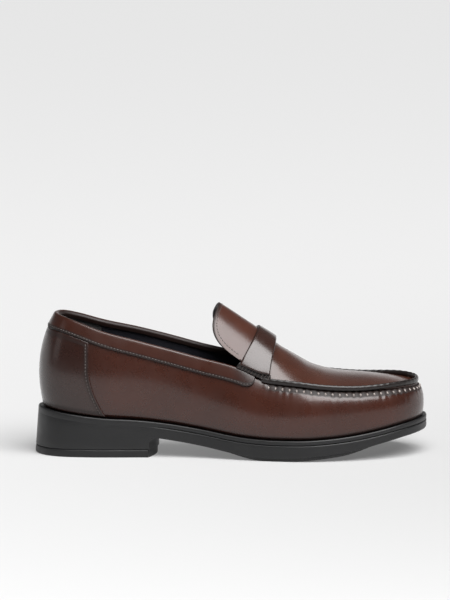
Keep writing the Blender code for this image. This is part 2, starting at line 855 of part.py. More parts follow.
def make_linings():
    inner = LEATHER + GAP
    heel_x = HEEL_GRIP_LENGTH - LENGTH / 2
    joint_x = LINING_JOINT - LENGTH / 2

    def plain(v):
        return np.full_like(v, inner)

    def over_stiffener(v):
        return inner + (STIFFENER + 2 * GAP) * (1 - smoothstep(0.66, 0.76, v))

    def over_puff(v):
        return np.full_like(v, inner + PUFF + GAP)

    heel = (u_at_x(heel_x, True) - 1, u_at_x(heel_x, False))
    lining_panel("heel_grip", *heel, over_stiffener, 1.0, LINING, HEEL_GRIP_SUEDE, 8)
    stiff = (heel[0] + 0.013, heel[1] - 0.013)
    lining_panel("heel_stiffener", *stiff, plain, 0.64, STIFFENER, FIBRE_BOARD, 5)
    lateral = (u_at_x(heel_x + 1 * MM, False), u_at_x(joint_x, False))
    lining_panel("quarter_lining_lateral", *lateral, plain, 1.0, LINING, QUARTER_LINING)
    medial = (u_at_x(joint_x, True), u_at_x(heel_x + 1 * MM, True))
    lining_panel("quarter_lining_medial", *medial, plain, 1.0, LINING, QUARTER_LINING)
    front = (u_at_x(joint_x + 1.5 * MM, False), u_at_x(joint_x + 1.5 * MM, True))
    lining_panel("vamp_lining", *front, over_puff, 0.93, LINING, QUARTER_LINING)
    lining_panel("toe_puff", 0.41, 0.59, plain, 0.90, PUFF, FIBRE_BOARD, 5)


def apron_rows():
    """x of each cross row's edge, closer together towards the tip, and the tip itself."""
    start = STRAP_CREST_FRONT - 9 * MM
    share = np.sin(np.linspace(0, np.pi / 2, 15))
    end = wall_at(0.5, v_below_top(np.array([0.5]), np.array([APRON_OVERLAP]))[0], APRON_SEAT + APRON)
    return start + (end[0] - start) * share, end


def edge_rail(side_u):
    """The apron's edge on the wall, a little below the wall's top, clear of its face."""
    v = v_below_top(side_u, np.full(side_u.shape, APRON_OVERLAP))
    return wall_at(side_u, v, APRON_SEAT + APRON)


def apron_surface(columns):
    """Grid of the apron's outer face: each row is an arch from the lateral edge to the medial one."""
    xs, end = apron_rows()
    sides = []
    for first in (0.2, 0.8):
        u = between(min(first, 0.5), max(first, 0.5), 120)
        rail = edge_rail(u)
        order = np.argsort(rail[:, 0])
        sides.append([np.interp(xs, rail[order, 0], rail[order, axis]) for axis in (1, 2)])
    (left_y, left_z), (right_y, right_z) = sides
    reach = (end[0] - xs) / (end[0] - xs[0])
    angle = (ARCH_ANGLE_TOE + (ARCH_ANGLE - ARCH_ANGLE_TOE) * smoothstep(0.3, 1, reach))[:, None]
    across, drop = arc(np.linspace(-1, 1, columns)[None, :], angle)
    half = (across + 1) / 2
    y = left_y[:, None] * (1 - half) + right_y[:, None] * half
    base = left_z[:, None] * (1 - half) + right_z[:, None] * half
    lean = (STRAP_LEAN + 3.5 * MM) * smoothstep(0.55, 1.0, reach)
    crest_x = xs + lean
    rise = np.maximum(crest_height(crest_x) - GAP - (left_z + right_z) / 2, 0)
    arch = 1 - drop
    z = base + rise[:, None] * arch
    x = xs[:, None] + lean[:, None] * arch
    points = np.stack([x, y, z], axis=-1)
    points[-1] = end
    return points


def make_apron():
    points = apron_surface(11)
    leather_sheet("apron", points, APRON, UPPER_LEATHER, PARTS)
    inner = points[:-4]
    middle = inner[:, 5:6]
    half = np.abs(inner[:, :1, 1] - inner[:, -1:, 1])[..., None] / 2
    inner = middle + (inner - middle) * (1 - APRON_LINING_INSET / half)
    inner[..., 2] -= APRON + GAP + 0.5 * MM
    leather_sheet("apron_lining", inner, LINING, QUARTER_LINING, PARTS)


def make_apron_thread():
    """The hand-sewn thread round the apron, on the wall just under the apron's edge."""
    x = STRAP_CREST_FRONT - 2 * MM
    u = between(u_at_x(x, False), u_at_x(x, True), 36)
    v = v_below_top(u, np.full(u.shape, APRON_OVERLAP + 1.5 * MM))
    tube("apron_seam_thread", wall_at(u, v, GAP + THREAD / 2), THREAD / 2, DARK_THREAD)


def tongue_grid(start, reach, columns, rows, width):
    """Grid of the free tongue: its end is a full round, cut square to the crest's slope."""
    b = np.sin(np.linspace(-1, 1, columns) * np.pi / 2) * width
    end = TONGUE_SIDE + (reach - TONGUE_SIDE) * (1 - np.abs(b / width) ** 3.4) ** (1 / 2.4)
    share = np.linspace(0, 1, rows)[:, None]
    return start - share * end[None, :], np.broadcast_to(b[None, :], (rows, columns))


def make_tongue():
    start = STRAP_CREST_REAR - FLEX_GAP
    out = GAP + TONGUE
    x, b = tongue_grid(start, TONGUE_FREE, 13, 6, 0.97)
    points = instep_at(x, b, out)[::-1]
    leather_sheet("tongue", points, TONGUE, TONGUE_LEATHER, PARTS)
    x, b = tongue_grid(start, TONGUE_FREE - 2 * MM, 13, 6, 0.93)
    leather_sheet("tongue_lining", instep_at(x, b, 0.0)[::-1], LINING, QUARTER_LINING, PARTS)


def arch_panel(name, front, rear, width, out, thickness, look, columns=15, rows=4):
    x = np.linspace(rear, front, rows)[:, None]
    b = np.linspace(-width, width, columns)[None, :]
    leather_sheet(name, instep_at(x, b, out), thickness, look, PARTS)


def make_strap():
    root = (STRAP_CREST_FRONT - 1.5 * MM, STRAP_CREST_REAR)
    arch_panel("tongue_root", *root, 0.88, GAP + TONGUE, TONGUE, TONGUE_LEATHER)
    strap = (STRAP_CREST_FRONT, STRAP_CREST_REAR)
    out = 2 * GAP + TONGUE + STRAP
    arch_panel("saddle_strap", *strap, 1.0, out, STRAP, STRAP_LEATHER, 17)
    for name, side in (("lateral", -1), ("medial", 1)):
        x = np.linspace(STRAP_CREST_REAR + 0.8 * MM, STRAP_CREST_FRONT - 0.8 * MM, 9)
        line = instep_at(x, np.full(9, side * 0.93), out + GAP + THREAD / 2)
        tube("strap_lacing_" + name, line, THREAD / 2, DARK_THREAD)


clear_scene()
PARTS = collection("penny_loafer")
CUTTERS = collection("cutters", hidden=True)

UPPER_LEATHER = material("upper_leather", (0.075, 0.022, 0.013), 0.32)
COUNTER_LEATHER = material("counter_leather", (0.05, 0.016, 0.011), 0.32)
COLLAR_LEATHER = material("collar_leather", (0.08, 0.024, 0.014), 0.34)
TONGUE_LEATHER = material("tongue_leather", (0.11, 0.035, 0.02), 0.32)
STRAP_LEATHER = material("strap_leather", (0.06, 0.02, 0.013), 0.28)
QUARTER_LINING = material("quarter_lining", (0.012, 0.012, 0.018), 0.6)
HEEL_GRIP_SUEDE = material("heel_grip_suede", (0.045, 0.043, 0.045), 0.9)
SOCK_LEATHER = material("sock_leather", (0.02, 0.018, 0.02), 0.6)
BLACK_RUBBER = material("black_rubber", (0.018, 0.018, 0.019), 0.5)
TOP_LIFT_RUBBER = material("top_lift_rubber", (0.014, 0.014, 0.015), 0.6)
FIBRE_BOARD = material("fibre_board", (0.32, 0.22, 0.14), 0.85)
CORK = material("cork", (0.36, 0.22, 0.11), 0.9)
FOAM = material("foam", (0.55, 0.52, 0.44), 0.95)
STEEL = material("steel", (0.55, 0.55, 0.56), 0.35, 1.0)
DARK_THREAD = material("dark_thread", (0.02, 0.012, 0.01), 0.6)

make_outsole()
make_top_lift()
make_welt()
make_bottom()
make_vamp_wall()
make_collar_band()
make_counter_cover()
make_linings()
make_apron()
make_apron_thread()
make_tongue()
make_strap()
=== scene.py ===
"""Moccasin penny loafer, right shoe: the finished leather, rubber, thread and lining over the fixed frame.

Metres, +X to the toe, +Y to the medial side, +Z up. A place round the shoe is u, from 0 at the back of the
heel, along the lateral side, 0.5 at the toe, to 1. A place up the wall is v, from 0 at the feather edge, where
the upper meets the welt, to 1 at the topline or at the apron seam.
"""

import bmesh
import bpy
import numpy as np
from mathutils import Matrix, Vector


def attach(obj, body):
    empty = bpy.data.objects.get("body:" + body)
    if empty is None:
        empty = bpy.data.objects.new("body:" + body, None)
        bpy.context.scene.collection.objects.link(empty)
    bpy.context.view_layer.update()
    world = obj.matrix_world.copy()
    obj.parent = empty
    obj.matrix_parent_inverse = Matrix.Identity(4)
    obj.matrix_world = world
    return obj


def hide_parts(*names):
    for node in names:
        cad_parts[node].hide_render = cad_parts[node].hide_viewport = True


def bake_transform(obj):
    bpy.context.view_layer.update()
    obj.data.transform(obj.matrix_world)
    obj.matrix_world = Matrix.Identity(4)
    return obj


bl_info = {
    "name": "Penny Loafer",
    "version": (1, 0, 0),
    "blender": (4, 5, 0),
    "location": "3D View > Sidebar > Loafer",
    "description": "Builds the leather, sole and stitching of a moccasin penny loafer piece by piece",
    "category": "Add Mesh",
}

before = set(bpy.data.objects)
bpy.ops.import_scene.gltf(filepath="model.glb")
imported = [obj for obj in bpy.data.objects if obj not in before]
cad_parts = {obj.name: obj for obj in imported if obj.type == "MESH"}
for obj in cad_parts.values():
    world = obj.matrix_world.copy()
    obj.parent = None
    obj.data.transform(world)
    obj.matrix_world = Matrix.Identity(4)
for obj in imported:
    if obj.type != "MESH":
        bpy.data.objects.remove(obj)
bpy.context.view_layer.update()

MM = 0.001

# Sizes shared with the frame
LENGTH = 300 * MM
BALL_WIDTH = 106 * MM
TOE_WIDTH = 84 * MM
WAIST_WIDTH = 65 * MM
HEEL_WIDTH = 68 * MM
SOLE_THICKNESS = 13.9 * MM
TREAD_STEP = 2.0 * MM
TREAD_DEPTH = 2.6 * MM
TREAD_EDGE = 1.4 * MM
BREAST_TURN = 9 * MM
QUARTER_SWELL = 2.2 * MM
HEEL_RISE = 20.4 * MM
TOE_SPRING = 12.6 * MM
TOP_LIFT = 5.8 * MM
HEEL_LENGTH = 86 * MM
BREAST_ROUND = 5 * MM
HEEL_LEAN = 2.6 * MM
WELT_THICKNESS = 3.7 * MM
GAP = 0.3 * MM
LEATHER = 1.2 * MM
LINING = 0.7 * MM
BAND = 0.9 * MM
STIFFENER = 1.2 * MM
PUFF = 0.8 * MM
APRON = 1.6 * MM
TONGUE = 1.8 * MM
STRAP = 2.0 * MM
BOARD = 2.0 * MM
SOCK = 1.5 * MM
CUSHION = 2.5 * MM
CUSHION_LENGTH = 80 * MM
BAND_GAP = 0.6 * MM
BAND_HEIGHT = 10.5 * MM
INNER_LEG = 2.6 * MM
EAR_ROUND = 11 * MM
EAR_BACK = 14.5 * MM
APRON_OVERLAP = 1.2 * MM
APRON_SEAT = 0.7 * MM
STRAP_LIFT = 5.8 * MM
STRAP_TUCK = 0.8 * MM
TONGUE_FREE = 29.2 * MM
TONGUE_LEAN = 11.7 * MM
TONGUE_NARROWING = 0.14
TONGUE_SIDE = 3 * MM
STRAP_LEAN = 2.9 * MM
STRAP_FRONT = 182.7 * MM
STRAP_WIDTH = 13.7 * MM
COUNTER_LOW = 55 * MM
COUNTER_HIGH = 42 * MM
HEEL_GRIP_LENGTH = 50 * MM
LINING_JOINT = 175 * MM
LOW_RISE = 0.31
ARCH_ANGLE = np.radians(64)
ARCH_ANGLE_TOE = np.radians(42)
SEAT = SOLE_THICKNESS + TREAD_STEP + HEEL_RISE
BREAST = HEEL_LENGTH - LENGTH / 2
BOARD_HIGH = 2 * GAP + LEATHER + BOARD
STRAP_CREST_FRONT = STRAP_FRONT - LENGTH / 2
STRAP_CREST_REAR = STRAP_CREST_FRONT - STRAP_WIDTH
SEAM_START = STRAP_CREST_FRONT - 9 * MM
SWELL_MIDDLE = -25 * MM
SWELL_REACH = 95 * MM

# Sizes of the finish
WALL_TURN_IN = (5.0, 2.0)
TUCK = 0.55 * MM
LIP_WIDTH = 1.35 * MM
LIP_SINK = 1.4 * MM
LIP_INSIDE = 0.55 * MM
TOE_SINK_FROM, TOE_SINK_TO = 95 * MM, 135 * MM
SEWN_BELOW = APRON_OVERLAP + 3.7 * MM
LINE_INSET = 1.5 * MM
COUNTER_ROW = 2.8 * MM
TONGUE_LINE = 2.3 * MM
TONGUE_POWER, TONGUE_ROUND = 5, 1 / 3
LACING_PITCH = 2.7 * MM
LACING_ROLL = (1.5 * MM, 2.5 * MM)

# Lights and camera
SOFTBOX = (0.45, -0.74, 1.4)
SOFTBOX_SIZE = (1.5, 1.7)
SOFTBOX_TARGET = (0.05, 0, 0.04)
SIDE_LIGHT = (-1.6, -0.6, 0.7)
SIDE_LIGHT_SIZE = (0.6, 1.0)
SIDE_LIGHT_TARGET = (0, 0, 0.06)
BACKDROP_LEVEL = 0.88
FLOOR_FADE = (-1.3, -0.9)
FLOOR_FADE_TONE = 0.4
CAMERA_LENS = 314
CAMERA_DISTANCE = 4.0
CAMERA_LIFT = np.radians(8)
CAMERA_TARGET = (-0.0046, 0.0, 0.1169)

# The sole's whole outline: share of the length from the heel, the width it scales with, share of that width
OUTLINE = (
    (0.0, HEEL_WIDTH, 0.0441),
    (0.0167, HEEL_WIDTH, -0.2279),
    (0.07, HEEL_WIDTH, -0.4044),
    (0.1733, HEEL_WIDTH, -0.4632),
    (0.2933, WAIST_WIDTH, -0.4769),
    (0.4167, WAIST_WIDTH, -0.5385),
    (0.5333, BALL_WIDTH, -0.4245),
    (0.65, BALL_WIDTH, -0.4953),
    (0.7433, BALL_WIDTH, -0.4934),
    (0.8467, TOE_WIDTH, -0.5393),
    (0.9333, TOE_WIDTH, -0.381),
    (0.9843, TOE_WIDTH, -0.1667),
    (1.0, TOE_WIDTH, 0.0714),
    (0.986, TOE_WIDTH, 0.2976),
    (0.9383, TOE_WIDTH, 0.4702),
    (0.8567, TOE_WIDTH, 0.5714),
    (0.7533, BALL_WIDTH, 0.4981),
    (0.6667, BALL_WIDTH, 0.4906),
    (0.5667, BALL_WIDTH, 0.4151),
    (0.45, WAIST_WIDTH, 0.5154),
    (0.3333, WAIST_WIDTH, 0.4769),
    (0.2133, HEEL_WIDTH, 0.5074),
    (0.1033, HEEL_WIDTH, 0.5118),
    (0.0267, HEEL_WIDTH, 0.3603),
)

# Values at twelve places round the shoe, in millimetres or as shares
LEAN_ROUND = (1, 0.8, 0, 0, 0, 0, 0, 0, 0, 0, 0, 0.8)
FEATHER_INSET = (4.9, 4.9, 3.6, 3.2, 3.2, 3.2, 3.2, 3.2, 3.2, 3.2, 3.6, 4.9)
TOP_INSET = (8.2, 7.5, 0.2, 5.0, 6.0, 6.0, 5.5, 6.5, 7.0, 5.6, 0.2, 4.6)
LOW_BULGE = (5.5, 5.0, 3.5, 3.5, 3.0, 2.5, 2.0, 2.5, 3.0, 2.5, 1.5, 4.0)
HIGH_BULGE = (13.5, 12.0, 4.5, 6.5, 8.5, 8.5, 7.5, 8.5, 9.0, 6.5, 4.0, 10.0)
HIGH_DROP = (0.32, 0.32, 0.34, 0.27, 0.12, 0.09, 0.08, 0.09, 0.12, 0.27, 0.34, 0.32)
MEDIAL_LIFT = (0, 0, 0, 0, 0, 0, 0, 0, 0.3, 2.0, 3.5, 1.5)

# Heights along the shoe: share of the length from the heel, then a share or millimetres
HEEL_RISE_ALONG = (
    (0, 1), (0.063, 0.877), (0.167, 0.706), (0.267, 0.632), (0.343, 0.515), (0.42, 0.348),
    (0.523, 0.10), (0.60, 0.015), (0.66, 0), (1, 0),
)
TOE_SPRING_ALONG = ((0, 0), (0.62, 0), (0.68, 0.03), (0.803, 0.27), (0.88, 0.55), (0.93, 0.77), (1, 1))
EDGE_ALONG = ((0, 0.91), (0.42, 0.91), (0.62, 1), (0.727, 0.9), (0.803, 0.835), (0.88, 0.75), (1, 0.7))
WALL_HEIGHT_ALONG = (
    (0.05, 71.6), (0.07, 71.0), (0.113, 68.6), (0.167, 64.7), (0.293, 57.6), (0.42, 52.8), (0.517, 50.4),
    (0.58, 44.6), (0.623, 43.1), (0.677, 41.1), (0.727, 38.2), (0.803, 34.1), (0.88, 30.4), (0.97, 25.8),
)
CREST_RISE_ALONG = (
    (0.466, 41.4), (0.523, 34.9), (0.563, 31.8), (0.609, 25.7), (0.628, 22.3), (0.65, 19.0), (0.677, 15.0),
    (0.70, 11.8), (0.727, 9.8), (0.753, 8.4), (0.777, 7.8), (0.803, 7.6), (0.843, 7.1), (0.90, 5.6),
    (0.94, 3.6), (0.97, 1.8),
)


# Shape of the last and the sole


def smoothstep(low, high, value):
    """3t2 - 2t3, where t runs from 0 at low to 1 at high."""
    t = np.clip((np.asarray(value, float) - low) / (high - low), 0, 1)
    return t * t * (3 - 2 * t)


def unit(vectors):
    return vectors / np.linalg.norm(vectors, axis=-1, keepdims=True)


def summed(points):
    """Distance of each point of a line from its first point, along the line."""
    return np.concatenate([[0], np.cumsum(np.linalg.norm(np.diff(points, axis=0), axis=-1))])


def closed_curve(knots):
    """A periodic cubic spline through evenly numbered knots, as a function of u from 0 to 1."""
    knots = np.asarray(knots, float)
    count = len(knots)
    one = np.eye(count)
    system = 4 * one + np.roll(one, 1, 0) + np.roll(one, -1, 0)
    bend = np.linalg.solve(system, 6 * (np.roll(knots, 1, 0) - 2 * knots + np.roll(knots, -1, 0)))

    def at(u):
        place = np.mod(np.asarray(u, float), 1.0) * count
        k = np.floor(place).astype(int) % count
        after = (k + 1) % count
        f = place - np.floor(place)
        f = f[..., None] if knots.ndim > 1 else f
        g = 1 - f
        return g * knots[k] + f * knots[after] + ((g**3 - g) * bend[k] + (f**3 - f) * bend[after]) / 6

    return at


def along(stations):
    """A smooth value along the shoe through stations, by cubic Hermite pieces, as a function of x."""
    share, value = np.array(stations, float).T
    x = (share - 0.5) * LENGTH
    slope = np.gradient(value, x)

    def at(q):
        q = np.clip(q, x[0], x[-1])
        k = np.clip(np.searchsorted(x, q, side="right") - 1, 0, len(x) - 2)
        w = x[k + 1] - x[k]
        t = (q - x[k]) / w
        low = (2 * t**3 - 3 * t**2 + 1) * value[k] + (t**3 - 2 * t**2 + t) * slope[k] * w
        high = (3 * t**2 - 2 * t**3) * value[k + 1] + (t**3 - t**2) * slope[k + 1] * w
        return low + high

    return at


heel_share = along(HEEL_RISE_ALONG)
toe_share = along(TOE_SPRING_ALONG)
edge_share = along(EDGE_ALONG)
wall_height = along(WALL_HEIGHT_ALONG)
crest_rise = along(CREST_RISE_ALONG)
raw_outline = closed_curve([((share - 0.5) * LENGTH, width * across) for share, width, across in OUTLINE])
lean_round = closed_curve(LEAN_ROUND)
feather_inset = closed_curve(FEATHER_INSET)
top_inset = closed_curve(TOP_INSET)
low_bulge = closed_curve(LOW_BULGE)
high_bulge = closed_curve(HIGH_BULGE)
high_drop = closed_curve(HIGH_DROP)
medial_lift = closed_curve(MEDIAL_LIFT)


def outline_middle():
    dense = raw_outline(np.linspace(0, 1, 2400, endpoint=False))
    return (dense.max(0) + dense.min(0)) / 2


MIDDLE = outline_middle()


def footprint(u):
    """The outline of the sole on the ground, centred on the origin."""
    return raw_outline(u) - MIDDLE


def outward(u):
    """The level direction square to the outline, pointing out: its tangent turned a quarter."""
    step = 1e-4
    run = unit(raw_outline(np.asarray(u) + step) - raw_outline(np.asarray(u) - step))
    return np.stack([run[..., 1], -run[..., 0]], axis=-1)


def rim(x):
    """Height of the top of the welt."""
    return SOLE_THICKNESS + TREAD_STEP + HEEL_RISE * heel_share(x) + TOE_SPRING * toe_share(x)


def underside(x):
    """Height of the lower edge of the sole's side, from the waist to the toe."""
    return rim(x) - SOLE_THICKNESS * edge_share(x)


def sole_loop(u, z, inset=0.0):
    """The sole's outline at height z: moved in, with the back of the heel leaning in as it rises."""
    lean = HEEL_LEAN * np.clip(lean_round(u), 0, 1) * z / SEAT
    return footprint(u) - outward(u) * (lean + inset)[..., None]


def feather(u):
    """Plan of the feather edge, where the upper meets the welt."""
    x = footprint(u)[..., 0]
    return sole_loop(u, rim(x), feather_inset(u) * MM)


def top_rail(u):
    """The wall's top: the topline behind the strap and the apron seam ahead of it."""
    plan = feather(u) - outward(u) * (top_inset(u) * MM)[..., None]
    x = plan[..., 0]
    z = rim(x) + (wall_height(x) + medial_lift(u)) * MM
    return np.concatenate([plan, z[..., None]], axis=-1)


def wall(u, v):
    """Outer face of the wall: a cubic Bezier section in v from the feather edge to the top rail."""
    u, v = np.broadcast_arrays(np.asarray(u, float), np.asarray(v, float))
    plan, out = feather(u), outward(u)
    top = top_rail(u)
    low_z = rim(plan[..., 0]) + GAP
    height = top[..., 2] - low_z
    p0 = np.concatenate([plan, low_z[..., None]], axis=-1)
    swell = QUARTER_SWELL * np.exp(-(((plan[..., 0] - SWELL_MIDDLE) / SWELL_REACH) ** 4))
    p1_plan = plan + out * (low_bulge(u) * MM + swell)[..., None]
    p1 = np.concatenate([p1_plan, (low_z + height * LOW_RISE)[..., None]], axis=-1)
    p2_plan = top[..., :2] + out * (high_bulge(u) * MM)[..., None]
    p2 = np.concatenate([p2_plan, (top[..., 2] - height * high_drop(u))[..., None]], axis=-1)
    t = v[..., None]
    s = 1 - t
    return s**3 * p0 + 3 * s * s * t * p1 + 3 * s * t * t * p2 + t**3 * top


def wall_normal(u, v):
    """Unit normals of the wall: the cross product of its two central differences."""
    step = 1e-4
    return unit(np.cross(wall(u + step, v) - wall(u - step, v), wall(u, v + step) - wall(u, v - step)))


def wall_at(u, v, out):
    """The wall's face moved out along its normal by a distance, or in by a negative one."""
    u, v, out = np.broadcast_arrays(np.asarray(u, float), np.asarray(v, float), np.asarray(out, float))
    return wall(u, v) + wall_normal(u, v) * out[..., None]


def spread(s):
    """u from an even parameter: closer together at the heel and the toe."""
    return s - 0.4 * np.sin(4 * np.pi * s) / (4 * np.pi)


def placed(first, last, shares):
    """Places at shares of the way from u = first to last, which follow the spread of the whole ring."""
    s = np.linspace(-1, 2, 6001)
    low, high = np.interp((first, last), spread(s), s)
    return spread(low + (high - low) * shares)


def between(first, last, count):
    return placed(first, last, np.linspace(0, 1, count))


def u_at_x(x, medial, v=1.0):
    """Where on one side the wall's row v has this x."""
    u = np.linspace(0.02, 0.48, 800)
    u = 1 - u if medial else u
    return np.interp(x, wall(u, v)[..., 0], u)


def v_below_top(u, distance):
    """v at a distance down the wall from its top, read back from the summed length of 80 short steps."""
    u, distance = np.broadcast_arrays(np.atleast_1d(u), np.atleast_1d(distance))
    v = np.linspace(0, 1, 81)
    steps = np.linalg.norm(np.diff(wall(u[:, None], v), axis=1), axis=-1)[:, ::-1]
    left = np.concatenate([np.zeros((len(u), 1)), np.cumsum(steps, axis=1)], axis=1)
    k = np.clip((left <= distance[:, None]).sum(axis=1) - 1, 0, 79)
    row = np.arange(len(u))
    share = (distance - left[row, k]) / (left[row, k + 1] - left[row, k])
    return 1 - (k + share) / 80


def v_at_rise(u, rise):
    """v at a height above the feather edge, read back from 80 short steps."""
    v = np.linspace(0, 1, 81)
    z = wall(np.asarray(u)[:, None], v)[..., 2]
    z = z - z[:, :1]
    k = np.clip((z <= rise).sum(axis=1) - 1, 0, 79)
    row = np.arange(len(z))
    return (k + (rise - z[row, k]) / (z[row, k + 1] - z[row, k])) / 80


def crest_height(x):
    """Height of the top of the apron and of the surface that carries the tongue and strap."""
    return rim(x) + (wall_height(x) + crest_rise(x)) * MM


def instep_edge(x, medial):
    """The ends of the arches: above the top rail under the strap, then straight back beside the tongue."""
    held = np.maximum(x, STRAP_CREST_REAR)
    share = (held - STRAP_CREST_REAR) / STRAP_WIDTH
    lean = TONGUE_LEAN + (STRAP_LEAN - TONGUE_LEAN) * share
    point = top_rail(u_at_x(held - lean, medial))
    free = held - x
    slope = (crest_height(STRAP_CREST_REAR - TONGUE_FREE) - crest_height(STRAP_CREST_REAR)) / TONGUE_FREE
    px = point[..., 0] - free
    py = point[..., 1] - np.sign(point[..., 1]) * STRAP_TUCK
    py = py * (1 - TONGUE_NARROWING * free / TONGUE_FREE)
    pz = point[..., 2] + STRAP_LIFT + free * slope
    return np.stack([px, py, pz], axis=-1)


def arc(b, angle):
    """Share across and share down of a circular arch that turns by this angle on each side of its crest."""
    return np.sin(b * angle) / np.sin(angle), (1 - np.cos(b * angle)) / (1 - np.cos(angle))


def instep(x, b):
    """Surface under the tongue and strap: x is the crest's x, b goes from -1 lateral to 1 medial.

    Each section is a circular arch in a plane that leans back, from the crest down to the arch's ends.
    """
    x, b = np.broadcast_arrays(np.asarray(x, float), np.asarray(b, float))
    lateral, medial = instep_edge(x, False), instep_edge(x, True)
    edge = np.where((b > 0)[..., None], medial, lateral)
    middle = (lateral[..., 1] + medial[..., 1]) / 2
    across, drop = arc(b, ARCH_ANGLE)
    crest = crest_height(x)
    return np.stack(
        [
            x + (edge[..., 0] - x) * drop,
            middle + (edge[..., 1] - middle) * np.abs(across),
            crest + (edge[..., 2] - crest) * drop,
        ],
        axis=-1,
    )


def instep_at(x, b, out):
    """The instep surface moved out along its normal by a distance."""
    x, b = np.broadcast_arrays(np.asarray(x, float), np.asarray(b, float))
    step_x, step_b = 0.2 * MM, 0.01
    run_x = instep(x + step_x, b) - instep(x - step_x, b)
    run_b = instep(x, b + step_b) - instep(x, b - step_b)
    return instep(x, b) + unit(np.cross(run_x, run_b)) * np.broadcast_to(out, x.shape)[..., None]


# Meshes


def grid_normals(grid, ring):
    """Unit normals of a grid of points: the cross product of its two central differences.

    Where a row has shrunk to a point it takes the mean normal of the row before it.
    """
    run_a = np.roll(grid, -1, 0) - np.roll(grid, 1, 0) if ring else np.gradient(grid, axis=0)
    run_b = np.gradient(grid, axis=1)
    face = np.cross(run_a, run_b)
    size = np.linalg.norm(face, axis=-1, keepdims=True)
    face = face / np.maximum(size, 1e-30)
    for end, near in ((0, 1), (-1, -2)):
        if size[end].max() < 1e-11:
            mean = face[near].mean(axis=0)
            face[end] = mean / np.linalg.norm(mean)
    return face


def to_edge(grid, ring):
    """Distance of each point from the nearest open edge, summed along the grid's own rows and columns."""

    def reach(axis):
        steps = np.linalg.norm(np.diff(grid, axis=axis), axis=-1)
        run = np.cumsum(steps, axis=axis)
        run = np.concatenate([np.zeros_like(np.take(run, [0], axis=axis)), run], axis=axis)
        return np.minimum(run, np.take(run, [-1], axis=axis) - run)

    across = reach(1)
    return across if ring else np.minimum(across, reach(0))


def grid_quads(rows, columns, ring_rows=False, ring_columns=False, start=0):
    """Faces of a grid of points, each facing the cross product of the row and column directions."""
    i = np.arange(rows if ring_rows else rows - 1)[:, None]
    j = np.arange(columns if ring_columns else columns - 1)[None, :]
    i, j = np.broadcast_arrays(i, j)
    k, m = (i + 1) % rows, (j + 1) % columns
    quads = np.stack([i * columns + j, k * columns + j, k * columns + m, i * columns + m], axis=-1)
    return quads.reshape(-1, 4) + start


def rim_quads(line, count, turn):
    """Faces that join an edge line of the outer skin to the same line of the inner skin."""
    a, b = (line[:-1], line[1:]) if turn else (line[1:], line[:-1])
    return np.stack([a, b, b + count, a + count], axis=-1)


def signed_volume(points, faces):
    """Six times the volume inside the faces, positive when they face out, by fans of triangles."""
    total = 0.0
    for size in {len(face) for face in faces}:
        group = np.array([face for face in faces if len(face) == size])
        corner = points[group]
        for k in range(1, size - 1):
            total += np.einsum("ij,ij->", corner[:, 0], np.cross(corner[:, k], corner[:, k + 1]))
    return total


def piece(name, points, faces, look, wear_and_shade=None, sharp=None, join=False):
    """A finished mesh at the origin, its faces turned out, with the wear_and_shade attribute its leather reads.
    """
    points = np.asarray(points, float).reshape(-1, 3)
    faces = [tuple(face) for face in faces]
    if signed_volume(points, faces) < 0:
        faces = [face[::-1] for face in faces]
    mesh = bpy.data.meshes.new(name)
    mesh.from_pydata(points.tolist(), [], faces)
    if wear_and_shade is not None:
        values = np.clip(np.asarray(wear_and_shade, np.float32).reshape(-1), 0, 1)
        mesh.attributes.new("wear_and_shade", "FLOAT", "POINT").data.foreach_set("value", values)
    mesh.materials.append(look)
    mesh.shade_smooth()
    if sharp:
        mesh.set_sharp_from_angle(angle=np.radians(sharp))
    obj = bpy.data.objects.new(name, mesh)
    bpy.context.scene.collection.objects.link(obj)
    if join:
        merge(obj)
    return obj


def merge(obj):
    """Joins points that lie within a hundredth of a millimetre of each other."""
    work = bmesh.new()
    work.from_mesh(obj.data)
    bmesh.ops.remove_doubles(work, verts=work.verts, dist=0.01 * MM)
    bmesh.ops.dissolve_degenerate(work, edges=work.edges, dist=0.001 * MM)
    work.to_mesh(obj.data)
    work.free()


def skin(name, grid, thickness, look, wear_and_shade, ring=False):
    """A layer of leather as a closed solid: the grid moved half the thickness each way along its normals.

    Within half a thickness of an open edge the two skins close on each other as a quarter circle.
    """
    normal = grid_normals(grid, ring)
    radius = thickness / 2
    edge = to_edge(grid, ring)
    left = 1 - np.clip(edge / radius, 0, 1)
    half = radius * np.sqrt(np.maximum(1 - left**2, 0.02))
    outer, inner = grid + normal * half[..., None], grid - normal * half[..., None]
    rows, columns = grid.shape[:2]
    count = rows * columns
    faces = grid_quads(rows, columns, ring)
    parts = [faces, faces[:, ::-1] + count]
    index = np.arange(count).reshape(rows, columns)
    if ring:
        index = np.concatenate([index, index[:1]])
    parts.append(rim_quads(index[:, 0], count, False))
    parts.append(rim_quads(index[:, -1], count, True))
    if not ring:
        parts.append(rim_quads(index[0], count, True))
        parts.append(rim_quads(index[-1], count, False))
    points = np.concatenate([outer.reshape(-1, 3), inner.reshape(-1, 3)])
    return piece(name, points, np.concatenate(parts).tolist(), look, np.concatenate([wear_and_shade.reshape(-1)] * 2))


def swept(path, side, up, profile, ring=False):
    """Points and faces of a closed profile carried along a path: path + side * p + up * q for each (p, q).

    profile is one closed outline of (p, q), or one for each place on the path. Open ends are capped with fans.
    """
    profile = np.broadcast_to(profile, (len(path),) + np.shape(profile)[-2:])
    points = path[:, None] + side[:, None] * profile[..., :1] + up[:, None] * profile[..., 1:]
    rows, columns = points.shape[:2]
    faces = grid_quads(rows, columns, ring, True).tolist()
    points = points.reshape(-1, 3)
    if not ring:
        points, faces = capped(points, faces, rows, columns)
    return points, faces


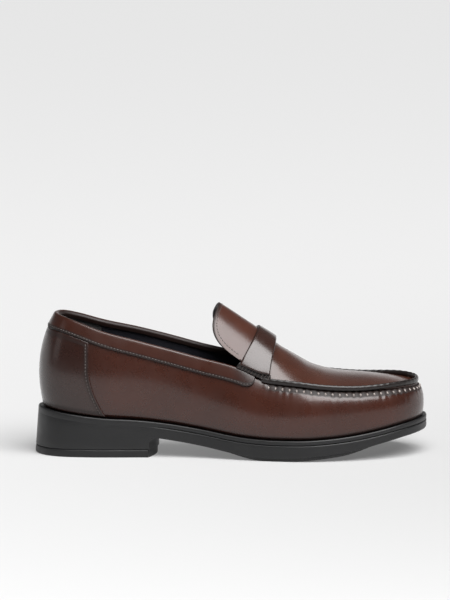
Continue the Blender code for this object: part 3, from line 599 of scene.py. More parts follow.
def capped(points, faces, rows, columns):
    """Closes the first and last ring of a tube with a fan of triangles round its centre."""
    first, last = points[:columns].mean(axis=0), points[-columns:].mean(axis=0)
    near, far = len(points), len(points) + 1
    start = (rows - 1) * columns
    for j in range(columns):
        k = (j + 1) % columns
        faces.append((near, k, j))
        faces.append((far, start + j, start + k))
    return np.concatenate([points, [first, last]]), faces


def circle(count, wide, high):
    """An ellipse as an outline of (p, q)."""
    turn = np.arange(count) * 2 * np.pi / count
    return np.stack([wide * np.cos(turn), high * np.sin(turn)], axis=-1)


def joined(parts):
    """Several (points, faces) as one."""
    points, faces, start = [], [], 0
    for some_points, some_faces in parts:
        points.append(some_points)
        faces += [tuple(np.asarray(face) + start) for face in some_faces]
        start += len(some_points)
    return np.concatenate(points), faces


def paced(curve, first, last, pitch):
    """Parameters of places evenly spaced by pitch along a curve of one parameter, by its summed length."""
    t = np.linspace(first, last, 1600)
    reach = summed(curve(t))
    count = max(int(round(reach[-1] / pitch)), 1)
    return np.interp((np.arange(count) + 0.5) * reach[-1] / count, reach, t)


STITCH_RINGS = np.array([(-1, 0.35, -0.75), (-0.8, 0.85, -0.3), (0, 1, 0), (0.8, 0.85, -0.3), (1, 0.35, -0.75)])


def stitches(center, run, face, length, width, height):
    """Short bowed threads as (points, faces): five rings of six points on each, whose ends dip into the leather.

    center, run and face are the place, the direction and the leather's normal of each thread.
    """
    run = unit(run)
    side = np.cross(face, run)
    turn = np.arange(6) * np.pi / 3
    t, size, dip = STITCH_RINGS.T
    shift = run[:, None, None] * (t * length / 2)[None, :, None, None]
    wide = side[:, None, None] * (size[:, None] * np.cos(turn) * width / 2)[None, :, :, None]
    high = size[:, None] * np.sin(turn) * height / 2 + dip[:, None] * height / 2
    points = center[:, None, None] + shift + wide + face[:, None, None] * high[None, :, :, None]
    one = grid_quads(5, 6, False, True)
    faces = (one[None] + (np.arange(len(center)) * 30)[:, None, None]).reshape(-1, 4).tolist()
    for k in range(len(center)):
        faces.append(tuple(range(k * 30 + 5, k * 30 - 1, -1)))
        faces.append(tuple(range(k * 30 + 24, k * 30 + 30)))
    return points.reshape(-1, 3), faces


def fine_ends(count, reach):
    """Shares from 0 to 1 with extra places close to both ends, where an edge is rounded."""
    near = np.array([0.0, 0.12, 0.3, 0.6, 1.0]) * reach
    middle = np.linspace(reach, 1 - reach, count)[1:-1]
    return np.concatenate([near, middle, 1 - near[::-1]])


# Sole pieces


def outline_pairs(x):
    """u on the lateral and medial side of the outline at each x."""
    u = np.linspace(-0.25, 1.25, 6001)
    plan = footprint(u)[:, 0]
    heel = u[np.argmin(np.where(np.abs(u) < 0.2, plan, 1))]
    toe = u[np.argmax(np.where(np.abs(u - 0.5) < 0.2, plan, -1))]
    lateral = (u >= heel) & (u <= toe)
    medial = (u >= toe) & (u <= heel + 1)
    low = np.interp(x, plan[lateral], u[lateral])
    high = np.interp(x, plan[medial][::-1], u[medial][::-1])
    return low, high


def ends_of_outline():
    plan = footprint(np.linspace(0, 1, 6001))[:, 0]
    return plan.min(), plan.max()


def cosine(first, last, count):
    """Places from first to last, closest together at both ends, by a half cosine."""
    return first + (last - first) * (1 - np.cos(np.linspace(0, np.pi, count))) / 2


def section_rows(x, low, high, rows):
    """u on both sides at each x, each row's inset and share of the height, and its z from low to high."""
    inset, share, more = np.array(rows, float).T
    z = low[:, None] + (high - low)[:, None] * share + more * MM
    return outline_pairs(x), inset * MM, share, np.clip(z, low[:, None], high[:, None])


def cross_sections(sides, across, hollow=0.0, crown=0.0):
    """Closed sections along the shoe as (points, faces), from the rows of points down each side.

    Each section runs down the lateral side, across the bottom, up the medial side and back over the top. hollow
    and crown lift the rows of points across the bottom and the top.
    """
    lateral, medial = sides[0], sides[1][:, ::-1]
    t = middle_places(across)[None, :, None]
    under = lateral[:, -1:] * (1 - t) + medial[:, :1] * t
    over = medial[:, -1:] * (1 - t) + lateral[:, :1] * t
    under[..., 2] += hollow
    over[..., 2] += crown
    sections = np.concatenate([lateral, under, medial, over], axis=1)
    rows, columns = sections.shape[:2]
    faces = grid_quads(rows, columns, False, True).tolist()
    return capped(sections.reshape(-1, 3), faces, rows, columns)


def middle_places(count):
    return np.linspace(0, 1, count + 2)[1:-1]


def outer_sections(x, low, high, rows, across=14, hollow=0.0, side_cut=0.0):
    """A body of the sole between low and high: rows are (inset, share of the height, distance added)."""
    places, inset, share, z = section_rows(x, low, high, rows)
    inset = inset + np.broadcast_to(side_cut, x.shape)[:, None] * (1 - share)
    sides = []
    for u in places:
        plan = sole_loop(np.broadcast_to(u[:, None], z.shape), z, inset)
        sides.append(np.concatenate([plan, z[..., None]], axis=-1))
    return cross_sections(sides, across, hollow)


def make_sole(looks, paint):
    """Heel block, waist and forefoot with a rounded shoulder under the welt, and the ribbed tread below."""
    heel_end, toe_end = ends_of_outline()
    near = BREAST + np.array([-1.2, -0.4, -0.001, 0.001, 0.15, 0.5, 1.1, 1.9, 2.8, 3.8, 5.0]) * MM
    x = np.sort(np.concatenate([cosine(heel_end + 0.01 * MM, toe_end - 0.01 * MM, 190), near]))
    from_breast = np.clip((x - BREAST) / BREAST_ROUND, 0, 1)
    fillet = BREAST_ROUND * (1 - np.sqrt(1 - (1 - from_breast) ** 2))
    low = np.where(x < BREAST, TOP_LIFT + 0.1 * MM, underside(x) - fillet)
    high = rim(x) - WELT_THICKNESS - 0.1 * MM
    rows = (
        (2.6, 1, 0), (0.95, 1, 0), (0.45, 1, -0.1), (0.12, 1, -0.38), (0.0, 1, -0.85), (0, 0.75, 0), (0, 0.5, 0),
        (0, 0.25, 0), (0, 0, 1.1), (0.08, 0, 0.62), (0.3, 0, 0.26), (0.75, 0, 0.06), (1.3, 0, 0),
    )
    points, faces = outer_sections(x, low, high, rows)
    block = breast_turned(points), faces
    first, last = LENGTH * -0.03, LENGTH * 0.385
    x = np.linspace(first, last, 300)
    rib = smoothstep(0.15, 0.5, np.cos((x - first) * 2 * np.pi / looks.rib_pitch))
    ends = smoothstep(0, 32 * MM, np.minimum(x - first, last - x))
    low = np.maximum(underside(x) - TREAD_DEPTH * ends, 0)
    t = middle_places(40)
    groove = (1.4 * MM * (1 - rib) * ends)[:, None] * smoothstep(0.06, 0.075, np.minimum(t, 1 - t))
    rows = ((0.0, 1, 0), (0.0, 0.4, 0), (0.1, 0, 0.5), (0.35, 0, 0.15), (0.8, 0, 0))
    rows = [(inset + TREAD_EDGE / MM, share, more) for inset, share, more in rows]
    tread = outer_sections(x, low, underside(x) + 1 * MM, rows, 40, groove, 0.25 * MM * (1 - rib))
    points, faces = joined([block, tread])
    sole = piece("sole_unit", points, faces, paint["rubber"], sharp=38, join=True)
    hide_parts("outsole")
    finish_piece(sole)


def breast_turned(points):
    """Bows the heel's breast forward: 1 - b^2 across the heel, fading as a bell on both sides of it."""
    across = 1 - (2 * np.clip(points[:, 1:2] / HEEL_WIDTH + 0.5, 0, 1) - 1) ** 2
    bell = np.exp(-(((points[:, :1] - BREAST) / (12 * MM)) ** 2))
    return points + across * bell * np.array([BREAST_TURN, 0.0, 0.0])


def make_lift(looks, paint):
    """Heel top lift: the outline cut straight at the breast, with a groove above and a round below."""
    u = between(-0.25, 0.25, 361)
    rows = (
        (0.9, 5.85), (0.5, 5.75), (0.18, 5.5), (0.05, 5.0), (0.0, 4.2),
        (0, 1.6), (0.1, 0.9), (0.4, 0.35), (0.95, 0),
    )
    rings = []
    for inset, z in rows:
        plan = sole_loop(u, np.full(u.shape, z * MM), inset * MM)
        keep = plan[plan[:, 0] < BREAST - (inset + 0.02) * MM]
        even, found = np.linspace(0, 1, 260), np.linspace(0, 1, len(keep))
        line = np.stack([np.interp(even, found, keep[:, k]) for k in (0, 1)], axis=1)
        t = middle_places(24)[:, None]
        front = line[-1] * (1 - t) + line[0] * t
        ring = np.concatenate([line, front])
        rings.append(np.concatenate([ring, np.full((len(ring), 1), z * MM)], axis=1))
    rings = np.array(rings)
    faces = grid_quads(*rings.shape[:2], False, True).tolist()
    points, faces = capped(rings.reshape(-1, 3), faces, *rings.shape[:2])
    points = breast_turned(points)
    lift = piece("heel_lift", points, faces, paint["lift_rubber"], sharp=40)
    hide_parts("heel_top_lift")
    finish_piece(lift)


def make_welt(looks, paint):
    """Moulded welt: one closed profile of (inset, height from the rim) carried round the outline."""
    u = spread(np.arange(520) / 520)
    profile = (
        (9, -3.3), (1.1, -3.6), (0.55, -3.45), (0.15, -3.05), (0.0, -2.5), (0, -1.5), (0.02, -0.9), (0.12, -0.5),
        (0.34, -0.2), (0.7, -0.03), (1.15, 0), (1.7, -0.12), (2.4, -0.5), (3.2, -0.75), (9, -0.8),
    )
    over_block = (
        (9, -3.3), (1.1, -3.6), (0.5, -4.4), (0.02, -4.75), (-0.03, -4.6), (-0.03, -1.5), *profile[6:],
    )
    x = footprint(u)[:, 0]
    ahead = smoothstep(BREAST - 8 * MM, BREAST + 16 * MM, x)
    rings = []
    for (inset, drop), (block_inset, block_drop) in zip(profile, over_block, strict=True):
        inset = block_inset + (inset - block_inset) * ahead
        drop = block_drop + (drop - block_drop) * ahead
        plan = sole_loop(u, rim(x) + drop * MM, inset * MM)
        z = rim(x) + drop * MM
        rings.append(np.concatenate([plan, z[:, None]], axis=1))
    rings = np.array(rings).transpose(1, 0, 2)
    faces = grid_quads(*rings.shape[:2], True, True).tolist()
    welt = piece("welt_strip", rings.reshape(-1, 3), faces, paint["rubber"], sharp=50)
    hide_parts("welt")
    finish_piece(welt)


def finish_piece(obj, body="root"):
    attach(obj, body)


# Upper pieces


def seam_ends():
    """u where the apron seam starts on the lateral side and where it ends on the medial side."""
    return float(u_at_x(SEAM_START, False)), float(u_at_x(SEAM_START, True))


def seam_phase(u, pitch):
    """How many stitches lie between the seam's lateral start and u, counted along the top rail's length."""
    first, last = seam_ends()
    t = np.linspace(first, last, 1600)
    reach = summed(top_rail(t))
    count = round(reach[-1] / pitch)
    return np.interp(np.mod(u, 1), t, reach / reach[-1] * count)


def make_wall(looks, paint):
    """Wall and quarters in one: the Bezier sections, gathered into puckers below the apron seam.

    The pucker's depth is (1 + cos 2 pi n) / 2 for the stitch count n, fading as e to the power of -distance.
    """
    u = spread(np.arange(920) / 920)
    v = 1 - (1 - np.linspace(0, 1, 34)) ** 1.5
    side = wall_at(u[:, None], v[None, :], -LEATHER / 2)
    plan = feather(u)[:, None] - outward(u)[:, None] * (np.array(WALL_TURN_IN) * MM)[None, :, None]
    height = rim(plan[..., 0]) + GAP + LEATHER / 2
    grid = np.concatenate([np.concatenate([plan, height[..., None]], axis=-1), side], axis=1)
    steps = np.linalg.norm(np.diff(grid, axis=1), axis=-1)
    above = np.cumsum(steps[:, ::-1], axis=1)[:, ::-1]
    from_top = np.concatenate([above, np.zeros((len(u), 1))], axis=1) / MM
    from_low = np.cumsum(np.concatenate([np.zeros((len(u), 1)), steps], axis=1), axis=1) / MM
    x = grid[..., 0]
    ahead = smoothstep(SEAM_START - 3 * MM, SEAM_START + 10 * MM, x)
    n = seam_phase(u, looks.seam_pitch)[:, None]
    reach = 3.4 + 1.5 * np.sin(1.9 * n + 0.6) + 1.1 * np.sin(0.73 * n)
    depth = looks.pucker_depth * (1 + 0.35 * np.sin(2.6 * n + 1) * np.sin(0.8 * n))
    pucker = (0.5 + 0.5 * np.cos(2 * np.pi * n)) * np.exp(-np.maximum(from_top - 2.2, 0) / reach)
    tuck = TUCK * np.exp(-((from_top / 2.0) ** 2))
    grid = grid - grid_normals(grid, True) * ((depth * pucker + tuck) * ahead)[..., None]
    # Painted shade: the wall under the seam roll and in each pucker is darkened and dulled, over a burnished band
    # along the seam.
    seam_burnish_and_shade = ahead * (1 - smoothstep(5.6, 7.8, from_top - 1.6 * pucker)) + 0.25 * ahead * pucker
    toe_dark = 0.55 * smoothstep(118 * MM, 146 * MM, x) * (1 - smoothstep(4, 30, from_top) * 0.5)
    heel_dark = 0.45 * (1 - smoothstep(-118 * MM, -85 * MM, x))
    # Painted shade in the gap between the wall's foot and the welt.
    welt_gap_shade = 0.97 * (1 - smoothstep(5.2, 8.5, from_low))
    wear_and_shade = np.maximum.reduce([seam_burnish_and_shade, toe_dark, heel_dark, welt_gap_shade])
    obj = skin("upper_wall", grid, LEATHER, paint["upper"], wear_and_shade, True)
    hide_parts("vamp_wall")
    finish_piece(obj)


def counter_front(v):
    """x of the counter's front edge up the wall: it sweeps back as a quarter sine as it rises."""
    sweep = np.sin(np.clip(v / 0.65, 0, 1) * np.pi / 2)
    return COUNTER_LOW - (COUNTER_LOW - COUNTER_HIGH) * sweep - LENGTH / 2


def counter_ends(share):
    """u of the front edges at this share of the counter's height: medial first, then lateral."""
    x = float(counter_front(share))
    return float(u_at_x(x, True, share)) - 1, float(u_at_x(x, False, share))


def counter_top(u):
    return v_below_top(u, BAND_HEIGHT + GAP + 0.2 * MM)


def make_counter(looks, paint):
    """Heel counter cover: laid on the wall between its two front edges, up to the collar band."""
    shares = 0.02 + 0.98 * fine_ends(26, 0.016)
    across = fine_ends(120, 0.008)
    columns = []
    for share in shares:
        medial, lateral = counter_ends(share)
        u = placed(medial, lateral, across)
        columns.append(wall_at(u, share * counter_top(u), GAP + BAND / 2 - 0.2 * MM))
    grid = np.array(columns).transpose(1, 0, 2)
    edge = to_edge(grid, False) / MM
    wear_and_shade = 0.3 + 0.65 * np.exp(-(((edge - 2.4) / 1.6) ** 2))
    # Painted highlight: the front edges are left undarkened as a pale line.
    wear_and_shade -= 1.3 * np.exp(-((edge / 0.45) ** 2)) * smoothstep(0.04, 0.1, shares)[None, :]
    obj = skin("counter_cover", grid, BAND, paint["counter"], wear_and_shade)
    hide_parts("heel_counter_cover")
    finish_piece(obj)


def ear_ends():
    x = STRAP_CREST_FRONT - EAR_BACK
    return float(u_at_x(x, False)), float(u_at_x(x, True)) - 1


def band_depth(u):
    """How far the band reaches down the wall: even, with each ear's end rounded as a quarter circle."""
    lateral, medial = ear_ends()
    t = np.linspace(medial, lateral, 1200)
    reach = summed(top_rail(t))
    at = np.interp(u, t, reach)
    left = 1 - np.clip(np.minimum(at, reach[-1] - at) / EAR_ROUND, 0, 1)
    return 0.22 * BAND_HEIGHT + 0.78 * BAND_HEIGHT * np.sqrt(1 - left**2)


def make_collar(looks, paint):
    """Strip folded over the topline: an outer leg on the wall, a rounded crown and a short inner leg."""
    lateral, medial = ear_ends()
    u = placed(medial, lateral, fine_ends(400, 0.004))
    depth = band_depth(u)
    out = BAND_GAP + BAND / 2
    inside = LEATHER + LINING + GAP + BAND_GAP + BAND / 2
    radius = (out + inside) / 2
    low_v = v_below_top(u, depth)[:, None]
    outer = wall_at(u[:, None], low_v + (1 - low_v) * fine_ends(12, 0.1)[None, :-4], out)
    face = wall_normal(u, 1.0)
    top = wall(u, 1.0)
    up = unit(top - wall(u, 0.98))
    center = top + face * (out - radius) + up * GAP
    angle = np.linspace(0, np.pi, 15)[None, :, None]
    crown = center[:, None] + radius * (np.cos(angle) * face[:, None] + 0.6 * np.sin(angle) * up[:, None])
    inner_v = v_below_top(u, depth * INNER_LEG / BAND_HEIGHT)[:, None]
    inner = wall_at(u[:, None], 1 + (inner_v - 1) * fine_ends(9, 0.15)[None, 5:], -inside)
    grid = np.concatenate([outer, crown, inner], axis=1)
    steps = np.linalg.norm(np.diff(grid, axis=1), axis=-1)
    from_low = np.concatenate([np.zeros((len(u), 1)), np.cumsum(steps, axis=1)], axis=1) / MM
    wear_and_shade = 0.95 * (1 - smoothstep(1.6, 3.4, from_low))
    wear_and_shade += 0.3 * (1 - smoothstep(-135 * MM, -95 * MM, grid[..., 0]))
    # Painted shade under the strap's end: the band darkens towards the ear.
    wear_and_shade += 0.5 * smoothstep(SEAM_START - 26 * MM, SEAM_START - 12 * MM, grid[..., 0])
    # Painted shade: the inner leg, inside the shoe, is darkened.
    wear_and_shade[:, outer.shape[1] + 8 :] = 0.9
    obj = skin("collar_binding", grid, BAND, paint["collar"], wear_and_shade)
    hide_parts("collar_band")
    finish_piece(obj)


def apron_edge(side_u):
    """The apron's edge on the wall, a little below the wall's top, clear of its face."""
    return wall_at(side_u, v_below_top(side_u, APRON_OVERLAP), APRON_SEAT + APRON / 2)


def apron_grid(xs, columns):
    """The apron: circular arches between its two edges at each x, leaning back towards the strap."""
    end = wall_at(0.5, v_below_top(np.array([0.5]), APRON_OVERLAP)[0], APRON_SEAT + APRON / 2)
    xs = SEAM_START + (end[0] - SEAM_START) * xs
    sides = []
    for first, last in ((0.2, 0.5), (0.5, 0.8)):
        rail = apron_edge(between(first, last, 400))
        order = np.argsort(rail[:, 0])
        sides.append([np.interp(xs, rail[order, 0], rail[order, axis]) for axis in (1, 2)])
    (left_y, left_z), (right_y, right_z) = sides
    reach = (end[0] - xs) / (end[0] - xs[0])
    angle = (ARCH_ANGLE_TOE + (ARCH_ANGLE - ARCH_ANGLE_TOE) * smoothstep(0.3, 1, reach))[:, None]
    across, drop = arc(columns[None, :], angle)
    half = (across + 1) / 2
    y = left_y[:, None] * (1 - half) + right_y[:, None] * half
    base = left_z[:, None] * (1 - half) + right_z[:, None] * half
    lean = (STRAP_LEAN + 3.5 * MM) * smoothstep(0.55, 1.0, reach)
    crest = crest_height(xs + lean) - GAP - APRON / 2
    rise = np.maximum(crest - (left_z + right_z) / 2, 0)
    z = base + rise[:, None] * (1 - drop)
    x = xs[:, None] + lean[:, None] * (1 - drop)
    grid = np.stack([x, y, z - sunk_toe(xs)[:, None]], axis=-1)
    grid[-1] = end
    grid[-1, :, 2] -= sunk_toe(end[0])
    return grid


def sunk_toe(x):
    """How far the apron sinks behind its lip towards the toe."""
    return 1.4 * MM * smoothstep(TOE_SINK_FROM, TOE_SINK_TO, x)


def make_apron(looks, paint):
    """Apron and, round its edge, the raised seam roll pinched at every stitch."""
    xs = np.sin(np.linspace(0, np.pi / 2, 110))
    columns = np.sin(np.linspace(-1, 1, 91) * np.pi / 2 * 0.92) / np.sin(np.pi / 2 * 0.92)
    grid = apron_grid(xs, columns)
    edge = to_edge(grid, False) / MM
    from_strap = (grid[..., 0] - SEAM_START) / MM
    wear_and_shade = 0.85 * np.exp(-edge / 2.4)
    wear_and_shade = np.where(from_strap < 12, np.maximum(wear_and_shade, 0.2), wear_and_shade)
    obj = skin("apron_top", grid, APRON, paint["apron"], wear_and_shade)
    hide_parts("apron")
    finish_piece(obj)
    make_roll(looks, paint)


def make_roll(looks, paint):
    """The seam's rolled lip: an ellipse carried round the apron's edge, a tenth smaller at each stitch."""
    first, last = seam_ends()
    t = paced(top_rail, first - 0.001, last + 0.001, 0.75 * MM)
    edge = apron_edge(t)
    side = np.concatenate([outward(t), np.zeros((len(t), 1))], axis=1)
    up = np.broadcast_to([0.0, 0.0, 1.0], side.shape)
    n = seam_phase(t, looks.seam_pitch)
    pinch = 1 - 0.1 * (0.5 + 0.5 * np.cos(2 * np.pi * n))
    profile = circle(16, LIP_WIDTH, looks.lip_height / 2)[None] * pinch[:, None, None]
    lift = looks.lip_height / 2 - LIP_SINK + 0.7 * MM * smoothstep(TOE_SINK_FROM, TOE_SINK_TO, edge[:, :1])
    path = edge - side * LIP_INSIDE + up * lift
    points, faces = swept(path, side, up, profile)
    obj = piece("seam_roll", points, faces, paint["edge"], np.full(len(points), 0.6))
    finish_piece(obj)


def free_length(columns, reach):
    """The tongue's length beyond the strap, which falls off to the sides: reach * (1 - |b|^5)^(1/3)."""
    fall = 1 - np.abs(np.sin(columns * np.pi / 2)) ** TONGUE_POWER
    return TONGUE_SIDE + (reach - TONGUE_SIDE) * fall**TONGUE_ROUND


def tongue_grid(rows, columns, reach, width, out):
    """The tongue from under the strap to its full round end, as arches of the instep surface."""
    b = np.sin(columns * np.pi / 2) * width
    free = free_length(columns, reach)
    start = STRAP_CREST_FRONT - 1.5 * MM
    under = start - STRAP_CREST_REAR
    x = start - rows[:, None] * (under + free)[None, :]
    return instep_at(x, np.broadcast_to(b[None, :], x.shape), out)


def flexes(obj):
    """Bakes the piece's placement into its mesh."""
    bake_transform(obj)


def tongue_edge_line(columns, inset, out):
    """A line inside the tongue's free edge: the same superellipse made smaller by the inset."""
    b = np.sin(columns * np.pi / 2) * 0.97
    narrow = 1 - inset / (36 * MM)
    x = STRAP_CREST_REAR - np.maximum(free_length(columns, TONGUE_FREE) - inset, -3 * MM)
    return instep_at(x, b * narrow, out)


def make_tongue(looks, paint):
    """Tongue in one length from under the strap, with its lining and a stitch line inside the edge."""
    rows = fine_ends(54, 0.02)
    columns = 2 * fine_ends(86, 0.012) - 1
    grid = tongue_grid(rows, columns, TONGUE_FREE, 0.97, GAP + TONGUE / 2)
    edge = to_edge(grid, False) / MM
    from_root = np.linalg.norm(grid - grid[:1], axis=-1) / MM
    # The edge is dyed dark; the band 13 mm from the root is painted shade where the tongue comes out from under
    # the strap.
    wear_and_shade = np.maximum(0.95 * (1 - smoothstep(1.3, 3.0, edge)), 0.55 * np.exp(-np.abs(from_root - 13) / 3.0))
    obj = skin("tongue_leather", grid, TONGUE, paint["tongue"], wear_and_shade)
    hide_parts("tongue", "tongue_root")
    flexes(obj)
    grid = tongue_grid(rows, columns, TONGUE_FREE - 0.5 * MM, 0.955, -LINING / 2 + 0.15 * MM)
    lining = skin("tongue_backing", grid, LINING, paint["lining"], np.zeros(grid.shape[:2]))
    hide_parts("tongue_lining")
    flexes(lining)
    out = GAP + TONGUE + 0.02 * MM

    def line(t):
        return tongue_edge_line(t, TONGUE_LINE, out)

    t = paced(line, -0.985, 0.985, looks.stitch_pitch)
    center, run = line(t), line(t + 1e-3) - line(t - 1e-3)
    b = np.sin(t * np.pi / 2) * 0.9
    x = STRAP_CREST_REAR - TONGUE_FREE / 2
    face = unit(instep_at(x, b, 1 * MM) - instep_at(x, b, 0))
    points, faces = stitches(center, run, face, looks.stitch_pitch * 0.78, 0.65 * MM, 0.6 * MM)
    thread = piece("tongue_stitching", points, faces, paint["thread"])
    flexes(thread)


def make_strap(looks, paint):
    """Saddle strap: a crowned band over the instep, whip-stitched to the quarters at both ends."""
    x = STRAP_CREST_REAR + STRAP_WIDTH * fine_ends(22, 0.08)[:, None]
    b = 1.05 * (2 * fine_ends(100, 0.012) - 1)[None, :]
    share = (x - STRAP_CREST_REAR) / STRAP_WIDTH
    out = 2 * GAP + TONGUE + STRAP / 2 + looks.strap_crown * (1 - (2 * share - 1) ** 2)
    grid = instep_at(x, b, np.broadcast_to(out, np.broadcast(x, b).shape))
    edge = to_edge(grid, False) / MM
    wear_and_shade = np.maximum(0.9 * np.exp(-edge / 1.1), 0.25)
    obj = skin("strap_leather_band", grid, STRAP, paint["strap"], wear_and_shade)
    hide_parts("saddle_strap")
    finish_piece(obj)
    for name, medial in (("lateral", False), ("medial", True)):
        make_lacing(name, medial, looks, paint)


def lacing_path(s, medial):
    """The roll under the strap's end, from the ear of the collar to the start of the apron's lip."""
    x = STRAP_CREST_REAR - 2 * MM + (STRAP_WIDTH + 2 * MM) * s
    point = instep_edge(x, medial)
    out = np.sign(point[..., 1:2]) * np.array([0.0, 1.0, 0.0])
    fall = (1.9 + 1.3 * smoothstep(0.5, 1, s)) * MM
    point = point + out * 1.7 * MM
    point[..., 2] -= fall
    return point


def make_lacing(name, medial, looks, paint):
    """A roll of leather along the strap's end, wrapped by threads that run over it from strap to quarter."""
    s = np.linspace(0, 1, 60)
    path = lacing_path(s, medial)
    sign = 1.0 if medial else -1.0
    run = unit(np.gradient(path, axis=0))
    side = np.broadcast_to([0.0, sign, 0.0], path.shape)
    up = np.cross(run, side)
    up = unit(up * np.sign(up[:, 2:]))
    points, faces = swept(path, side, up, circle(14, *LACING_ROLL))
    roll = piece("lacing_roll_" + name, points, faces, paint["edge"], np.full(len(points), 0.7))
    finish_piece(roll)
    t = paced(lambda q: lacing_path(q, medial), 0.02, 0.98, LACING_PITCH)
    center = lacing_path(t, medial)
    local = np.array([np.interp(t, s, up[:, k]) for k in range(3)]).T
    face = np.broadcast_to([0.0, sign, 0.0], center.shape)
    slant = np.array([np.interp(t, s, run[:, k]) for k in range(3)]).T
    parts = [stitches(center + face * 1.45 * MM, local + slant * 0.25, face, 4.6 * MM, 0.9 * MM, 1.0 * MM)]
    high = center + face * 0.5 * MM + local * 4.3 * MM
    parts.append(stitches(high, local - face * 0.6, face + local * 0.5, 2.6 * MM, 0.8 * MM, 0.9 * MM))
    points, faces = joined(parts)
    thread = piece("lacing_" + name, points, faces, paint["thread"])
    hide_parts("strap_lacing_" + name)
    finish_piece(thread)


# Rows of stitches


def make_stitching(looks, paint):
    """Rows of machine stitches on the collar and the counter, and the hand-sewn threads of the apron seam."""
    pitch = looks.stitch_pitch
    lateral, medial = ear_ends()
    out = BAND_GAP + BAND + 0.02 * MM

    def band_row(u):
        return v_below_top(u, np.maximum(band_depth(u) - LINE_INSET, 1 * MM))

    def band_line(u):
        return wall_at(u, band_row(u), out)

    u = paced(band_line, medial + 0.002, lateral - 0.002, pitch)
    run = band_line(u + 1e-4) - band_line(u - 1e-4)
    face = wall_normal(u, band_row(u))
    parts = [stitches(band_line(u), run, face, pitch * 0.78, 0.75 * MM, 0.7 * MM)]
    for index in (0, 1):
        parts.append(counter_stitches(index, pitch))
    points, faces = joined(parts)
    row = piece("machine_stitching", points, faces, paint["thread"])
    finish_piece(row)
    first, last = seam_ends()
    t = np.linspace(first, last, 1600)
    n = seam_phase(t, looks.seam_pitch)
    u = np.interp(np.arange(1, int(n[-1])), n, t)
    v = v_below_top(u, SEWN_BELOW)
    place = wall_at(u, v, -0.15 * MM)
    down = wall(u, v) - wall(u, v + 0.02)
    points, faces = stitches(place, down, wall_normal(u, v), 2.3 * MM, 1.6 * MM, 1.7 * MM)
    sewn = piece("apron_stitching", points, faces, paint["seam_thread"])
    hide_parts("apron_seam_thread")
    finish_piece(sewn)


def counter_stitches(index, pitch):
    """A row of stitches behind one front edge of the counter cover."""
    shares = np.linspace(0.05, 0.97, 60)
    rows = []
    for share in shares:
        ends = counter_ends(share)
        u = np.linspace(ends[0], ends[1], 400)
        line = wall_at(u, share * counter_top(np.array([u[0], u[-1]]))[index], GAP + BAND - 0.15 * MM)
        reach = summed(line)
        target = COUNTER_ROW if index == 0 else reach[-1] - COUNTER_ROW
        rows.append([np.interp(target, reach, line[:, k]) for k in range(3)])
    rows = np.array(rows)

    def line_at(t):
        return np.stack([np.interp(t, shares, rows[:, k]) for k in range(3)], axis=-1)

    t = paced(line_at, shares[0], shares[-1], pitch)
    run = line_at(t + 1e-3) - line_at(t - 1e-3)
    medial, lateral = counter_ends(0.5)
    u = medial if index == 0 else lateral
    face = wall_normal(np.full(t.shape, u), t * 0.85)
    return stitches(line_at(t), run, face, pitch * 0.75, 0.75 * MM, 0.7 * MM)


# Linings and the sock


def lining_skin(name, node, first, last, depth, top, look, slot):
    """A panel inside the wall: the wall's face moved in by a depth that is a function of v."""
    u = between(first, last, 150)
    low = v_at_rise(u, BOARD_HIGH + 2 * GAP)
    v = low[:, None] + (top - low)[:, None] * np.linspace(0, 1, 24)
    grid = wall_at(u[:, None], v, -(depth(v) + LINING / 2))
    obj = skin(name, grid, LINING, look, np.zeros(v.shape))
    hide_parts(node)
    finish_piece(obj)


def make_linings(looks, paint):
    """Quarter linings, vamp lining, apron lining and the heel grip inside the upper."""
    inner = LEATHER + GAP
    heel_x, joint_x = HEEL_GRIP_LENGTH - LENGTH / 2, LINING_JOINT - LENGTH / 2

    def plain(v):
        return np.full_like(v, inner)

    def over_stiffener(v):
        return inner + (STIFFENER + 2 * GAP) * (1 - smoothstep(0.66, 0.76, v))

    def over_puff(v):
        return np.full_like(v, inner + PUFF + GAP)

    def at(x, medial):
        return float(u_at_x(x, medial))

    lining, grip = paint["lining"], paint["grip"]
    back = (at(heel_x, True) - 1, at(heel_x, False))
    lining_skin("heel_grip_suede", "heel_grip", *back, over_stiffener, 1.0, grip, "heel_grip_suede")
    near = heel_x + 0.4 * MM
    lateral = (at(near, False), at(joint_x, False))
    lining_skin("lining_lateral", "quarter_lining_lateral", *lateral, plain, 1.0, lining, "quarter_lining")
    medial = (at(joint_x, True), at(near, True))
    lining_skin("lining_medial", "quarter_lining_medial", *medial, plain, 1.0, lining, "quarter_lining")
    front = (at(joint_x + 1.5 * MM, False), at(joint_x + 1.5 * MM, True))
    lining_skin("lining_vamp", "vamp_lining", *front, over_puff, 0.93, lining, "quarter_lining")
    xs = np.sin(np.linspace(0, np.pi / 2, 60))[:52]
    grid = apron_grid(xs, np.linspace(-0.92, 0.92, 41))
    grid[..., 2] -= APRON + GAP
    under = skin("lining_apron", grid, LINING, lining, np.zeros(grid.shape[:2]))
    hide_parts("apron_lining")
    finish_piece(under)


def inside_inset(u):
    """How far the space inside the linings lies in from the sole's outline."""
    return feather_inset(u) * MM + LEATHER + STIFFENER + LINING + 4 * GAP


def pad_height(x):
    """Top of the heel cushion above the board: full at the heel, tapered at its front."""
    end = CUSHION_LENGTH - LENGTH / 2
    return 0.6 * MM + (CUSHION - 0.6 * MM) * (1 - smoothstep(end - 22 * MM, end, x))


